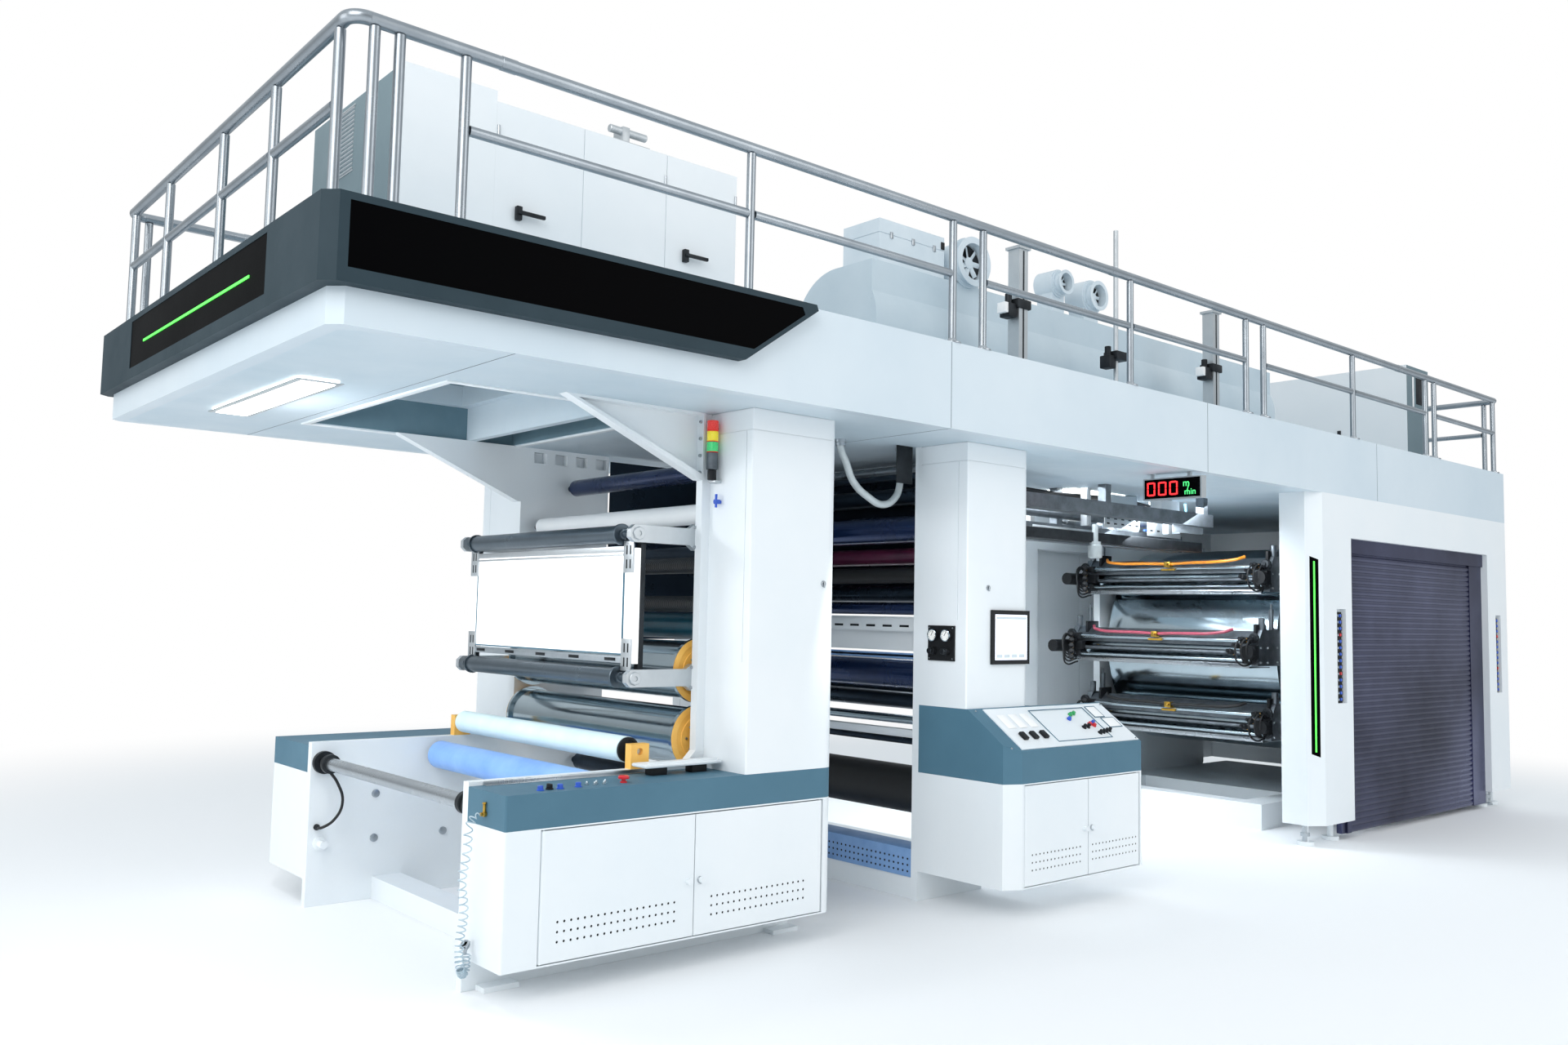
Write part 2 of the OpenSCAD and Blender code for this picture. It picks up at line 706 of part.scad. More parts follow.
// Pale panel on the sloping desk.
module console_panel() color("white") placed() {
    run = console_back - 10 - console_y;
    rise = hood_z2 - hood_z1;
    slope = atan(rise / run);
    translate([tower2_x + console_cx + 8, console_y, hood_z1]) rotate([slope, 0, 0])
        translate([0, 12, 0]) cube([console_w - console_cx - 20, norm([run, rise]) - 24, 5]);
}
con_z0 = console_z0 + sill + door_gap;
con_z1 = hood_z0 - sill - door_gap;
module console_door_left() color("white") placed()
    door_leaf(con_left + door_gap, con_seam - door_gap / 2, console_y, con_z0, con_z1, -1, 60, -2.75, 399);
module console_door_right() color("white") placed()
    door_leaf(con_seam + door_gap / 2, con_right - door_gap, console_y, con_z0, con_z1, 1, 30, 0.25, 399);

// Touch screen on the front of the second tower.
module touch_screen() color("black") placed()
    box([2714, -tower2_fwd - 14, 1226], [3018, -tower2_fwd, 1505]);

// Pressure gauge panel on the left of the second tower.
module gauge_panel() color("black") placed() {
    box([tower2_x - 8, 55, 1240], [tower2_x, 235, 1420]);
    for (y = [100, 190]) {
        bar_x(y, 1370, tower2_x - 26, tower2_x - 8, 60);
        bar_x(y, 1290, tower2_x - 34, tower2_x - 8, 40);
    }
}

// Speed display hung below the platform.
module speed_display() color("black") placed() {
    box([4324, -272, 2200], [4374, 121, 2332]);
    for (y = [-190, 60]) box([4340, y, 2332], [4358, y + 20, soffit_z]);
}

stack_out = 38;

// Signal stack on the left side of the first tower.
module stack_light() color("red") placed() {
    box([tower1_x - stack_out, 214, 2040], [tower1_x, 266, 2052]);
    bar_z(tower1_x - stack_out, 240, 2052, 2322, 52);
}

pf_x0 = drum_x - 700;
pf_x1 = drum_x + 700;
pf_z = soffit_z;
pf_t = 60;
pf_flare = 110;
hub_d = 220;

// The frame plates that carry the impression drum.
module print_frame() difference() {
    plate_y(web_front - pf_t, web_front) polygon([[pf_x0, 0], [pf_x1, 0], [pf_x1 + pf_flare, 200],
        [pf_x1 + pf_flare, pf_z - 200], [pf_x1, pf_z], [pf_x0, pf_z], [pf_x0 - pf_flare, pf_z - 200],
        [pf_x0 - pf_flare, 200]]);
    bar_y(drum_x, drum_z, web_front - pf_t - 1, web_front + 1, hub_d);
}
module print_frames() color("white") placed() {
    print_frame();
    to_rear() print_frame();
}

// Central impression drum.
module impression_drum() color("silver") placed() {
    bar_y(drum_x, drum_z, web_front + 80, web_rear - 80, drum_r * 2);
    bar_y(drum_x, drum_z, web_front - pf_t, web_rear + pf_t, hub_d - 2 * gap);
}

deck_reach = drum_r + plate_r + 4;

// Distance of the plate cylinder axis from the drum axis for deck row i.
function plate_dx(i) = sqrt(pow(deck_reach, 2) - pow(i * deck_step, 2));

// Runs its children once for each printing deck, mirrored on the far side of the drum.
module each_deck() for (i = [-1, 0, 1], s = [-1, 1])
    translate([drum_x, 0, drum_z + i * deck_step]) mirror([s > 0 ? 0 : 1, 0, 0])
        translate([plate_dx(i), 0, 0]) children();

roll_in = 96;
ani_x = plate_r + anilox_r + 4;
cheek_t = 50;
bar_x1 = ani_x + anilox_r + 40;
cheek_x1 = bar_x1 + 40;
cheek_z0 = -110;
cheek_z1 = 150;

// Plate cylinders that touch the web on the drum.
module plate_cylinders() color("dimgray") placed() each_deck() {
    bar_y(0, 0, web_front + roll_in, web_rear - roll_in, plate_r * 2);
    bar_y(0, 0, web_front + cheek_t + gap, web_rear - cheek_t - gap, 60);
}

// Anilox rolls that ink the plate cylinders.
module anilox_rolls() color("silver") placed() each_deck() {
    bar_y(ani_x, 0, web_front + roll_in, web_rear - roll_in, anilox_r * 2);
    bar_y(ani_x, 0, web_front + cheek_t + gap, web_rear - cheek_t - gap, 50);
}

// Chambered doctor blades above the anilox rolls.
module doctor_chambers() color("gray") placed() each_deck()
    plate_y(web_front + cheek_t, web_rear - cheek_t) polygon([[ani_x + 8, anilox_r + 8],
        [ani_x - 30, anilox_r + 20], [ani_x - 30, cheek_z1 - 10], [ani_x + 70, cheek_z1 - 10],
        [bar_x1 + 10, anilox_r + 10], [bar_x1 + 10, 30],
        [ani_x + anilox_r + 10, 30], [ani_x + anilox_r * 0.72, anilox_r * 0.72 + 16]]);

// Cheeks of the printing decks with their tie bars.
module deck_cheeks() color("dimgray") placed() each_deck() {
    for (y = [web_front, web_rear - cheek_t]) plate_y(y, y + cheek_t) polygon([[-90, cheek_z0],
        [cheek_x1, cheek_z0],
        [cheek_x1, 40], [bar_x1 - 30, cheek_z1], [40, cheek_z1], [-90, 60]]);
    for (z = [cheek_z0 + 26, -20])
        bar_y(bar_x1, z, web_front + cheek_t + gap, web_rear - cheek_t - gap, 32);
}

motor_d = 95;

near_motor_l = 110;
far_motor_l = 260;

// Drive motors on the outer ends of the decks.
module deck_drives() color("black") placed() each_deck() for (y = [web_front, web_rear - cheek_t]) {
    box([cheek_x1, y - 10, -60], [cheek_x1 + 60, y + cheek_t + 10, 40]);
    bar_x(y + cheek_t / 2, -10, cheek_x1 + 60,
        cheek_x1 + (y < centre_y ? near_motor_l : far_motor_l), motor_d);
}

// Base tray under the printing unit.
module print_bed() color("white") placed() difference() {
    box([6150, web_front, 0], [8550, web_rear, 180]);
    box([6300, web_front + 200, 60], [6900, web_rear - 200, 181]);
}

// Start X, end X, Y, underside and height of each beam below the platform in the print bay.
bay_beams = [[3040, 6125, 950, 1990, 120], [3040, 6480, 1640, 2080, 110], [3040, 5900, 560, 2150, 90]];
beam_w = 100;

// Dark web path beams that hang below the platform in the print bay.
module overhead_beams() color("dimgray") placed() for (b = bay_beams) {
    box([b[0], b[2], b[3]], [b[1], b[2] + beam_w, b[3] + b[4]]);
    for (x = [3300, 4600, 5800])
        box([x, b[2] + 20, b[3] + b[4] + gap], [x + 60, b[2] + beam_w - 20, soffit_z]);
}

// One portal with legs and header, drawn for the operator side.
module portal() {
    y0 = deck_front;
    y1 = deck_front + portal_d;
    difference() {
        union() {
            plate_z(portal_z0, soffit_z) polygon([[portal_x, y1], [portal_x, y0 + portal_cy],
                [portal_x + portal_cx, y0], [shutter_x0, y0], [shutter_x0, y1]]);
            box([shutter_x0, y0, shutter_z], [shutter_x1, y1, soffit_z]);
            box([shutter_x1, y0, portal_z0], [deck_right, y1, soffit_z]);
        }
        box([6093, y0 - 1, 935], [6227, y0 + 40, 1575]);
        box([8950, y0 - 1, 935], [9060, y0 + 40, 1575]);
        on_chamfer() strip_panel(0);
        on_chamfer() translate([0, -20, 0]) strip_panel(20);
    }
    for (x = [portal_x + 70, 6220, 8870, 9100], y = [y0 + 125]) {
        bar_z(x, y, 0, 25, 110);
        bar_z(x, y, 25, portal_z0, 40);
    }
}
module portals() color("white") placed() {
    portal();
    across() portal();
}

shutter_y = deck_front + 50;
shutter_bottom = 40;
guide_w = 60;
guide_wide = 250;
lintel_h = 100;
slat_bulge = 9;
slat_groove = 4;

// Ribbed roller shutter made of curved slats between its guides.
module shutter() {
    x0 = shutter_x0 + gap;
    x1 = shutter_x1 - gap;
    y0 = shutter_y;
    n = floor((shutter_z - lintel_h - shutter_bottom) / slat_h);
    slat_r = (pow(slat_h / 2, 2) + pow(slat_bulge, 2)) / (2 * slat_bulge);
    box([x0, y0 + 12, shutter_bottom], [x1, y0 + 40, shutter_z]);
    box([x0, y0, shutter_bottom], [x0 + guide_w, y0 + 12, shutter_z]);
    box([x1 - guide_wide, y0, shutter_bottom], [x1, y0 + 12, shutter_z]);
    box([x0, y0 - 14, shutter_z - lintel_h], [x1, y0 + 12, shutter_z]);
    box([x0 - 60, y0 + 12, shutter_bottom], [x1, y0 + 50, shutter_bottom + 80]);
    for (i = [0:n - 1]) translate([x0 + guide_w, y0 + 12, shutter_bottom + (i + 0.5) * slat_h])
        rotate([90, 0, 90]) linear_extrude(x1 - x0 - guide_w - guide_wide) intersection() {
            translate([slat_r - slat_bulge, 0]) circle(r = slat_r);
            translate([-slat_bulge, (slat_groove - slat_h) / 2])
                square([slat_bulge + 1, slat_h - slat_groove]);
        }
}
module roller_shutter() color("black") placed() shutter();

rear_door_n = 3;
rear_door_t = 40;
// inset, height above the floor, width, length and depth of a finger grip
grip = [60, 1000, 30, 180, 12];

// White access doors in the drive side portal.
module rear_doors() color("white") placed() across() {
    w = (shutter_x1 - shutter_x0 - 2 * gap) / rear_door_n;
    for (i = [0:rear_door_n - 1]) translate([shutter_x0 + i * w, shutter_y, 0]) difference() {
        box([gap, 0, shutter_bottom], [gap + w - 3, rear_door_t, shutter_z]);
        translate([grip[0], -1, grip[1]]) cube([grip[2], grip[4] + 1, grip[3]]);
    }
}

// Closed right end of the machine.
module end_wall() color("white") placed() difference() {
    box([deck_right - 60, deck_front + portal_d, portal_z0], [deck_right, deck_rear - portal_d, soffit_z]);
    for (y = [440, 1230, 2020])
        box([deck_right - groove, y - 2, portal_z0 - 1], [deck_right + 1, y + 2, soffit_z - 200]);
}

tunnel_r = 340;

// Bridge dryer tunnel with its rounded rear shoulder.
module dryer_tunnel() color("white") placed() difference() {
    plate_x(tunnel_x0, tunnel_x1) union() {
        translate([tunnel_y, walk_z]) square([tunnel_d - tunnel_r, tunnel_z - walk_z]);
        translate([tunnel_y, walk_z]) square([tunnel_d, tunnel_z - walk_z - tunnel_r]);
        translate([tunnel_y + tunnel_d - tunnel_r, tunnel_z - tunnel_r]) circle(r = tunnel_r);
    }
    box([tunnel_x0 - 1, tunnel_y - 1, 3234], [tunnel_x1 + 1, tunnel_y + groove, 3234 + groove]);
}

hood_x1 = 3140;
hood_top = 3715;
lid_z = 3632;

// Extraction hood and fans with bell mouths on the tunnel.
module dryer_fans() color("lightsteelblue") placed() {
    difference() {
        box([2594, tunnel_y + 6, tunnel_z], [hood_x1, tunnel_y + 300, hood_top]);
        seam_ring(2594, hood_x1, tunnel_y + 6, tunnel_y + 300, lid_z);
    }
    for (f = [[3340, 300, 3600], [4255, 160, 3655], [4616, 200, 3632]]) fan(f[0], f[1], f[2]);
}

mouth_l = 60;
casing_l = 140;

// A fan with a flared bell mouth of diameter d and a casing on the tunnel.
module fan(x, d, z) {
    y1 = tunnel_y - gap;
    casing_d = min(d * 1.15, 2 * (z - tunnel_z) - gap);
    difference() {
        union() {
            translate([x, y1, z]) rotate([90, 0, 0]) rotate_extrude() polygon([[0, 0], [d * 0.42, 0],
                [d * 0.42, mouth_l * 0.6], [d * 0.5, mouth_l * 0.9], [d * 0.5, mouth_l], [0, mouth_l]]);
            bar_y(x, z, y1 - 12, y1, d * 1.02);
            bar_y(x, z, y1, tunnel_y + casing_l, casing_d);
            box([x - d * 0.4, tunnel_y + 10, tunnel_z], [x + d * 0.4, tunnel_y + casing_l - 10, z]);
        }
        bar_y(x, z, y1 - mouth_l - 1, tunnel_y + casing_l * 0.6, d * 0.74);
    }
}

// Electrical cabinets on the platform.
module electrical_cabinets() color("white") placed() {
    locker_z = walk_z + locker_h;
    box([-300, locker_y, walk_z], [110, locker_y + locker_d, locker_z + 45]);
    difference() {
        box([110 + gap, locker_y, walk_z], [1400, locker_y + locker_d, locker_z]);
        for (x = [537, 984])
            box([x - groove / 2, locker_y - 1, walk_z - 1],
                [x + groove / 2, locker_y + groove, locker_z + 1]);
    }
    box([8240, 150, walk_z], [8670, 1450, walk_z + 940]);
    box([8300, 1450 + gap, walk_z], [8600, 1900, walk_z + 700]);
}

// Lift columns and a slim pole beside the walkway.
module lift_columns() color("silver") placed() {
    for (x = [3325, 5430]) {
        box([x - column_w / 2, 300 - column_w / 2, walk_z], [x + column_w / 2, 300 + column_w / 2, 3590]);
        box([x - column_w / 2 - 12, 300 - column_w / 2 - 12, 3590],
            [x + column_w / 2 + 12, 300 + column_w / 2 + 12, 3606]);
    }
    bar_z(4300, 300, walk_z, pole_top, 30);
}

// A point on the smooth curve through points p at place i plus fraction t.
function spline(p, i, t) =
    let (a = p[max(i - 1, 0)], b = p[i], c = p[i + 1], d = p[min(i + 2, len(p) - 1)])
    0.5 * (2 * b + (c - a) * t + (2 * a - 5 * b + 4 * c - d) * t * t + (3 * b - a - 3 * c + d) * t * t * t);

// Points along the smooth curve, n to each stretch.
function path_points(p, n) =
    concat([for (i = [0:len(p) - 2], k = [0:n - 1]) spline(p, i, k / n)], [p[len(p) - 1]]);

function unit(v) = v / norm(v);

// Rings of a tube of radius r round the path, with the reference direction side.
function tube_rings(q, r, sides, side) = [for (i = [0:len(q) - 1])
    let (t = unit(q[min(i + 1, len(q) - 1)] - q[max(i - 1, 0)]), u = unit(cross(t, side)), w = cross(t, u))
    for (k = [0:sides - 1]) q[i] + r * (cos(k * 360 / sides) * u + sin(k * 360 / sides) * w)];

// A flexible cord swept along points p.
module cord_tube(p, d, side, n = 6, sides = 10) {
    q = path_points(p, n);
    m = len(q);
    polyhedron(tube_rings(q, d / 2, sides, side), concat(
        [[for (k = [0:sides - 1]) k]],
        [[for (k = [0:sides - 1]) (m - 1) * sides + sides - 1 - k]],
        [for (i = [0:m - 2], k = [0:sides - 1])
            [i * sides + k, (i + 1) * sides + k, (i + 1) * sides + (k + 1) % sides,
                i * sides + (k + 1) % sides]]));
}

hose_path = [[-gap, 150, 690], [-18, 150, 690], [-36, 150, 690], [-62, 152, 660], [-66, 160, 560],
    [-78, 170, 450],
    [-62, 176, 330], [-72, 182, 220], [-60, 190, 120], [-44, 200, 100], [-30, 208, 170]];
cable_path = [[shaft_x + 5, web_rear - 70, 655], [100, 1880, 600], [130, 1880, 500], [96, 1890, 420],
    [50, web_rear - 50, 384], [40, web_rear - 36, 380], [40, web_rear - 18, 380],
    [40, web_rear - gap, 380]];
vent_path = [[2050, 420, soffit_z - gap], [2050, 420, 2340], [2050, 420, 2320], [2091, 420, 2245],
    [2145, 420, 2150], [2247, 420, 2082], [2369, 420, 2048], [2462, 420, 2099], [2490, 420, 2171],
    [2492, 420, 2250], [2492, 420, 2320],
    [2492, 420, 2340], [2492, 420, soffit_z - gap]];

// Coiled air hose on the unwinder end.
module air_hose() color("gray") placed() cord_tube(hose_path, 30, [0, 1, 0]);

// Cable from the shaft bearing to the side frame.
module black_cable() color("black") placed() cord_tube(cable_path, 14, [1, 0, 0]);

// Corrugated vent hose that loops below the platform.
module vent_hose() color("silver") placed() cord_tube(vent_path, 44, [0, 1, 0]);

platform_deck();
platform_fascia();
fascia_trim();
trim_panels();
led_lines();
soffit_lights();
guard_rails();
unwinder_frame_front();
unwinder_frame_rear();
gussets();
infeed_frames();
first_towers();
second_towers();
unwinder_cabinet();
counters();
unwinder_door_left();
unwinder_door_right();
drive_cabinet();
cross_beams();
unwind_shaft();
shaft_bearings();
lay_on_roller();
bearing_blocks();
spreader_roller();
nip_roll_lower();
nip_roll_upper();
guide_roller_upper();
guide_roller_lower();
roller_arms();
inspection_panel();
web_idlers();
console_body();
console_hood();
console_panel();
console_door_left();
console_door_right();
touch_screen();
gauge_panel();
speed_display();
stack_light();
print_frames();
impression_drum();
plate_cylinders();
anilox_rolls();
doctor_chambers();
deck_cheeks();
deck_drives();
print_bed();
overhead_beams();
portals();
roller_shutter();
rear_doors();
end_wall();
dryer_tunnel();
dryer_fans();
electrical_cabinets();
lift_columns();
air_hose();
black_cable();
vent_hose();
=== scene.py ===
"""Studio scene of a bridge-type flexographic printing press.

Positions are in the design axes of the press, in millimetres: X runs from the unwinder end along the
web line, Y from the operator side to the drive side and Z up from the floor. at() turns them into
metres in the frame of the CAD model.
"""

import logging
import math
from dataclasses import dataclass, field
from enum import Enum
from typing import Sequence

import bpy
from mathutils import Euler, Matrix, Vector


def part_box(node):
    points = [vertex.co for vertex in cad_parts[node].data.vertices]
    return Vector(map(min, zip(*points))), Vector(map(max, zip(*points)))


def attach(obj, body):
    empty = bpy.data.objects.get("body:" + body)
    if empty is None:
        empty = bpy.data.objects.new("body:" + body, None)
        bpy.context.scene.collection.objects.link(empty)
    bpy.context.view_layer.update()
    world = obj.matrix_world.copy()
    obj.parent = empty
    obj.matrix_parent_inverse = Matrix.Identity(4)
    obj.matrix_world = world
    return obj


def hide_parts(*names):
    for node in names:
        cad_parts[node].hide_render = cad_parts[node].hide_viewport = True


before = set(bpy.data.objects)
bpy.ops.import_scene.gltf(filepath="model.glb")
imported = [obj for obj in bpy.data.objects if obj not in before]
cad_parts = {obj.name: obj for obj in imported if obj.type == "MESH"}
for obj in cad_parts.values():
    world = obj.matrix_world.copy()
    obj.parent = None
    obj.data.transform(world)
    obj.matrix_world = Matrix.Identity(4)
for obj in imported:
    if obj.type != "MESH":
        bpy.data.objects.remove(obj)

LOG = logging.getLogger("press")
MIDDLE = Vector((4167.5, 1214.5, 0.0))
MM = 0.001
WEB_FRONT = 344.0
WEB_REAR = 1966.0
SOFFIT = 2360.0
DECK_TOP = 2780.0
WALK = 2700.0
Point = Sequence[float]


def at(x: float, y: float, z: float) -> Vector:
    """Point in the frame of the model, in metres, from design millimetres."""
    return (Vector((x, y, z)) - MIDDLE) * MM


def linear(code: str) -> tuple[float, float, float, float]:
    """Linear RGBA from an sRGB hex colour such as "#8090A0"."""
    parts = [int(code[i : i + 2], 16) / 255 for i in (1, 3, 5)]
    r, g, b = (c / 12.92 if c <= 0.04045 else ((c + 0.055) / 1.055) ** 2.4 for c in parts)
    return (r, g, b, 1.0)


def add_node(tree: bpy.types.NodeTree, kind: str, settings: dict | None = None, inputs: dict | None = None):
    """Add a shader node.

    Args:
        tree: the node tree that receives it.
        kind: Blender's type name of the node.
        settings: attributes of the node.
        inputs: values or output sockets by input name or index.

    Returns:
        The new node.
    """
    node = tree.nodes.new(kind)
    for name, value in (settings or {}).items():
        setattr(node, name, value)
    for name, value in (inputs or {}).items():
        if isinstance(value, bpy.types.NodeSocket):
            tree.links.new(value, node.inputs[name])
        else:
            node.inputs[name].default_value = value
    return node


class Grain(Enum):
    """Direction of the fine surface pattern, as its stretch along X, Y and Z."""

    PEEL = (1.0, 1.0, 1.0)
    BRUSHED_X = (0.02, 1.0, 1.0)
    BRUSHED_Y = (1.0, 0.02, 1.0)
    BRUSHED_Z = (1.0, 1.0, 0.02)
    TURNED = (0.03, 1.0, 0.03)
    RIBS = (0.0, 1.0, 0.0)
    MESH = (1.0, 1.0, 1.01)


@dataclass(frozen=True)
class Finish:
    """A surface finish.

    name: the real material, used as the material's name.
    slot: the material slot of the record that it belongs to; it is not used.
    colour, soil: sRGB hex of the surface and of the tone that large soft patches turn to: a random tone on most
    finishes, painted shade on the fascia, soffit and well finishes, and painted sheen on the slats.
    metal, rough, coat: shader values.
    grain, grain_mm, bump_mm: kind, size and height of the fine pattern.
    patch_mm, patch: size and strength of the large soft patches.
    glow: emission strength of a lamp or screen, and the painted glow of the inspection board.
    shine: specular level of a paint or plastic.
    """

    name: str
    slot: str
    colour: str
    patch_tone_and_shade: str
    metal: float = 0.0
    rough: float = 0.4
    coat: float = 0.0
    grain: Grain = Grain.PEEL
    grain_mm: float = 3.0
    bump_mm: float = 0.05
    patch_mm: float = 500.0
    patch: float = 0.35
    glow: float = 0.0
    shine: float = 0.5

    def material(self) -> bpy.types.Material:
        """The Blender material of this finish, made once."""
        found = bpy.data.materials.get(self.name)
        return found if found else self._make()

    def _make(self) -> bpy.types.Material:
        """Build the shader from object coordinates."""
        material = bpy.data.materials.new(self.name)
        material.use_nodes = True
        tree = material.node_tree
        tree.nodes.clear()
        where = add_node(tree, "ShaderNodeTexCoord").outputs["Object"]
        patches = add_node(tree, "ShaderNodeTexNoise", None, {"Vector": where, "Scale": 1000 / self.patch_mm,
                                                              "Detail": 5.0, "Roughness": 0.6}).outputs["Fac"]
        soft = add_node(tree, "ShaderNodeMapRange", None, {"Value": patches, "From Min": 0.35, "From Max": 0.75,
                                                           "To Min": 0.0, "To Max": self.patch}).outputs["Result"]
        fine = self._fine(tree, where)
        tone = add_node(tree, "ShaderNodeMix", {"data_type": "RGBA"}, {"Factor": soft, 6: linear(self.colour),
                                                                       7: linear(self.patch_tone_and_shade)}).outputs[2]
        wear = add_node(tree, "ShaderNodeMath", {"operation": "MULTIPLY_ADD"}, {0: soft, 1: 0.25, 2: self.rough})
        gloss = add_node(tree, "ShaderNodeMath", {"operation": "MULTIPLY_ADD", "use_clamp": True},
                         {0: fine, 1: 0.10, 2: wear.outputs[0]})
        bump = add_node(tree, "ShaderNodeBump", None, {"Height": fine, "Distance": self.bump_mm * MM, "Strength": 1.0})
        surface = add_node(tree, "ShaderNodeBsdfPrincipled", None, {
            "Base Color": tone, "Metallic": self.metal, "Roughness": gloss.outputs[0], "Coat Weight": self.coat,
            "Coat Roughness": 0.12, "Specular IOR Level": 0.5 if self.metal else self.shine, "Normal": bump.outputs["Normal"], "Emission Color": linear(self.colour),
            "Emission Strength": self.glow})
        add_node(tree, "ShaderNodeOutputMaterial", None, {"Surface": surface.outputs[0]})
        return material

    def _fine(self, tree: bpy.types.NodeTree, where: bpy.types.NodeSocket) -> bpy.types.NodeSocket:
        """The fine pattern, from 0 to 1."""
        scale = [s * 1000 / self.grain_mm for s in self.grain.value]
        place = add_node(tree, "ShaderNodeMapping", None, {"Vector": where, "Scale": scale}).outputs["Vector"]
        if self.grain is Grain.RIBS:
            return add_node(tree, "ShaderNodeTexWave", {"bands_direction": "Y"}, {"Vector": place, "Scale": 0.32,
                                                                                  "Distortion": 0.0}).outputs["Fac"]
        if self.grain is Grain.MESH:
            return add_node(tree, "ShaderNodeTexVoronoi", {"feature": "F1"}, {"Vector": place, "Scale": 1.0,
                                                                              "Randomness": 0.15}).outputs["Distance"]
        return add_node(tree, "ShaderNodeTexNoise", None, {"Vector": place, "Scale": 1.0, "Detail": 4.0,
                                                           "Roughness": 0.65}).outputs["Fac"]


WHITE_PAINT = Finish("white powder coat", "white_paint", "#EBF0F3", "#DDE7ED", rough=0.34, coat=0.15,
                     grain_mm=2.5, bump_mm=0.03, patch_mm=900, patch=0.5)
# Painted shade: the soffit is white sheet like the rest of the platform; its grey-blue tone and strong darker patches
# stand for the shade under the platform.
SOFFIT_PAINTED_SHADE = Finish("white soffit sheet", "white_paint", "#CDDAE2", "#AFC5D1", rough=0.42, grain_mm=3,
                      bump_mm=0.03, patch_mm=1200, patch=0.8)
SLATE_PAINT = Finish("slate powder coat", "slate_paint", "#4F778B", "#43687C", rough=0.42, grain_mm=2,
                     bump_mm=0.04, patch_mm=600, patch=0.6, shine=0.35)
TRIM_PAINT = Finish("dark slate trim", "slate_paint", "#283A43", "#203037", rough=0.45, grain_mm=2,
                    bump_mm=0.04, patch_mm=500, patch=0.6, shine=0.25)
# Painted shade: the fascia is white sheet; its greyer tone and the large darker patches stand for the shade that falls
# on it.
FASCIA_PAINTED_SHADE = Finish("pale blue fascia sheet", "white_paint", "#D6E1E8", "#B9CBD7", rough=0.36, coat=0.15,
                      grain_mm=2.5, bump_mm=0.03, patch_mm=2600, patch=0.8)
# Painted shade: thin grey plates laid over the shaded left side of the rooftop cabinet and over the front of the end
# cabinet.
GREY_PAINTED_SHADE = Finish("grey plate of painted shade", "white_paint", "#71858D", "#60747C", rough=0.45, grain_mm=3,
                    patch_mm=900, patch=0.6)
# Painted shade: blue grey plates inside the walkway well, whose inside lies in shade.
WELL_PAINTED_SHADE = Finish("blue grey plate of painted shade", "slate_paint", "#6A8895", "#4F6F7D", rough=0.55, grain_mm=4,
                    bump_mm=0.04, patch_mm=400, patch=0.7)
BLACK_GLASS = Finish("black acrylic sheet", "gloss_black", "#020203", "#060708", rough=0.35, grain_mm=8,
                     bump_mm=0.01, patch=0.3, shine=0.02)
BLACK_PLASTIC = Finish("black moulded plastic", "gloss_black", "#121417", "#1E2125", rough=0.42, grain_mm=1.2,
                       bump_mm=0.05, patch_mm=60, patch=0.5, shine=0.3)
LAMP = Finish("lamp diffuser", "light_panel", "#FFFDF6", "#F4F8FF", rough=0.5, patch=0.1, glow=5.0)
# Painted light: the inspection board is a white board, not a lamp; its glow stands in for the light falling on it.
BOARD_PAINTED_GLOW = Finish("opal inspection board", "light_panel", "#FDFDFD", "#F1F5F8", rough=0.38, patch=0.25, glow=0.35)
GREEN_LINE = Finish("green light line", "green_light", "#4DE84A", "#8CF57E", rough=0.4, patch=0.3, glow=1.6)
STEEL = Finish("brushed stainless steel", "stainless", "#B9BFC4", "#8F979E", metal=1.0, rough=0.2,
               grain=Grain.BRUSHED_Z, grain_mm=0.9, bump_mm=0.02, patch_mm=150, patch=0.4)
RAIL_STEEL = Finish("drawn stainless tube", "stainless", "#A9B0B6", "#7E878F", metal=1.0, rough=0.2,
                    grain=Grain.BRUSHED_X, grain_mm=1.2, bump_mm=0.02, patch_mm=260, patch=0.5)
CHROME = Finish("polished chrome", "chrome_roll", "#B4C2C9", "#8E9FA8", metal=1.0, rough=0.07,
                grain=Grain.TURNED, grain_mm=5, bump_mm=0.008, patch_mm=320, patch=0.35)
GALVANISED = Finish("galvanised sheet", "stainless", "#B8C0C6", "#959FA7", metal=0.9, rough=0.34,
                    grain=Grain.MESH, grain_mm=18, bump_mm=0.02, patch_mm=80, patch=0.6)
ALUMINIUM = Finish("bead-blasted aluminium", "stainless", "#C9CED1", "#AEB5BA", metal=0.9, rough=0.38,
                   grain_mm=0.8, bump_mm=0.02, patch_mm=120, patch=0.4)
DARK_ROLL = Finish("dark anodised roller", "dark_roll", "#2B3947", "#141C26", metal=0.75, rough=0.2,
                   grain=Grain.TURNED, grain_mm=6, bump_mm=0.02, patch_mm=300, patch=0.7)
GUIDE_ROLL = Finish("grey anodised roller", "dark_roll", "#66727B", "#4A545C", metal=0.9, rough=0.22,
                    grain=Grain.TURNED, grain_mm=4, bump_mm=0.015, patch_mm=260, patch=0.5)
RIBBED = Finish("ribbed black rubber", "dark_roll", "#0E1114", "#1C2126", rough=0.32, grain=Grain.RIBS,
                grain_mm=12, bump_mm=1.2, patch_mm=120, patch=0.5)
PALE_WRAP = Finish("pale blue roller wrap", "pale_blue_rubber", "#E8FCFF", "#CDEFFA", rough=0.55,
                   grain=Grain.MESH, grain_mm=9, bump_mm=0.5, patch_mm=200, patch=0.5)
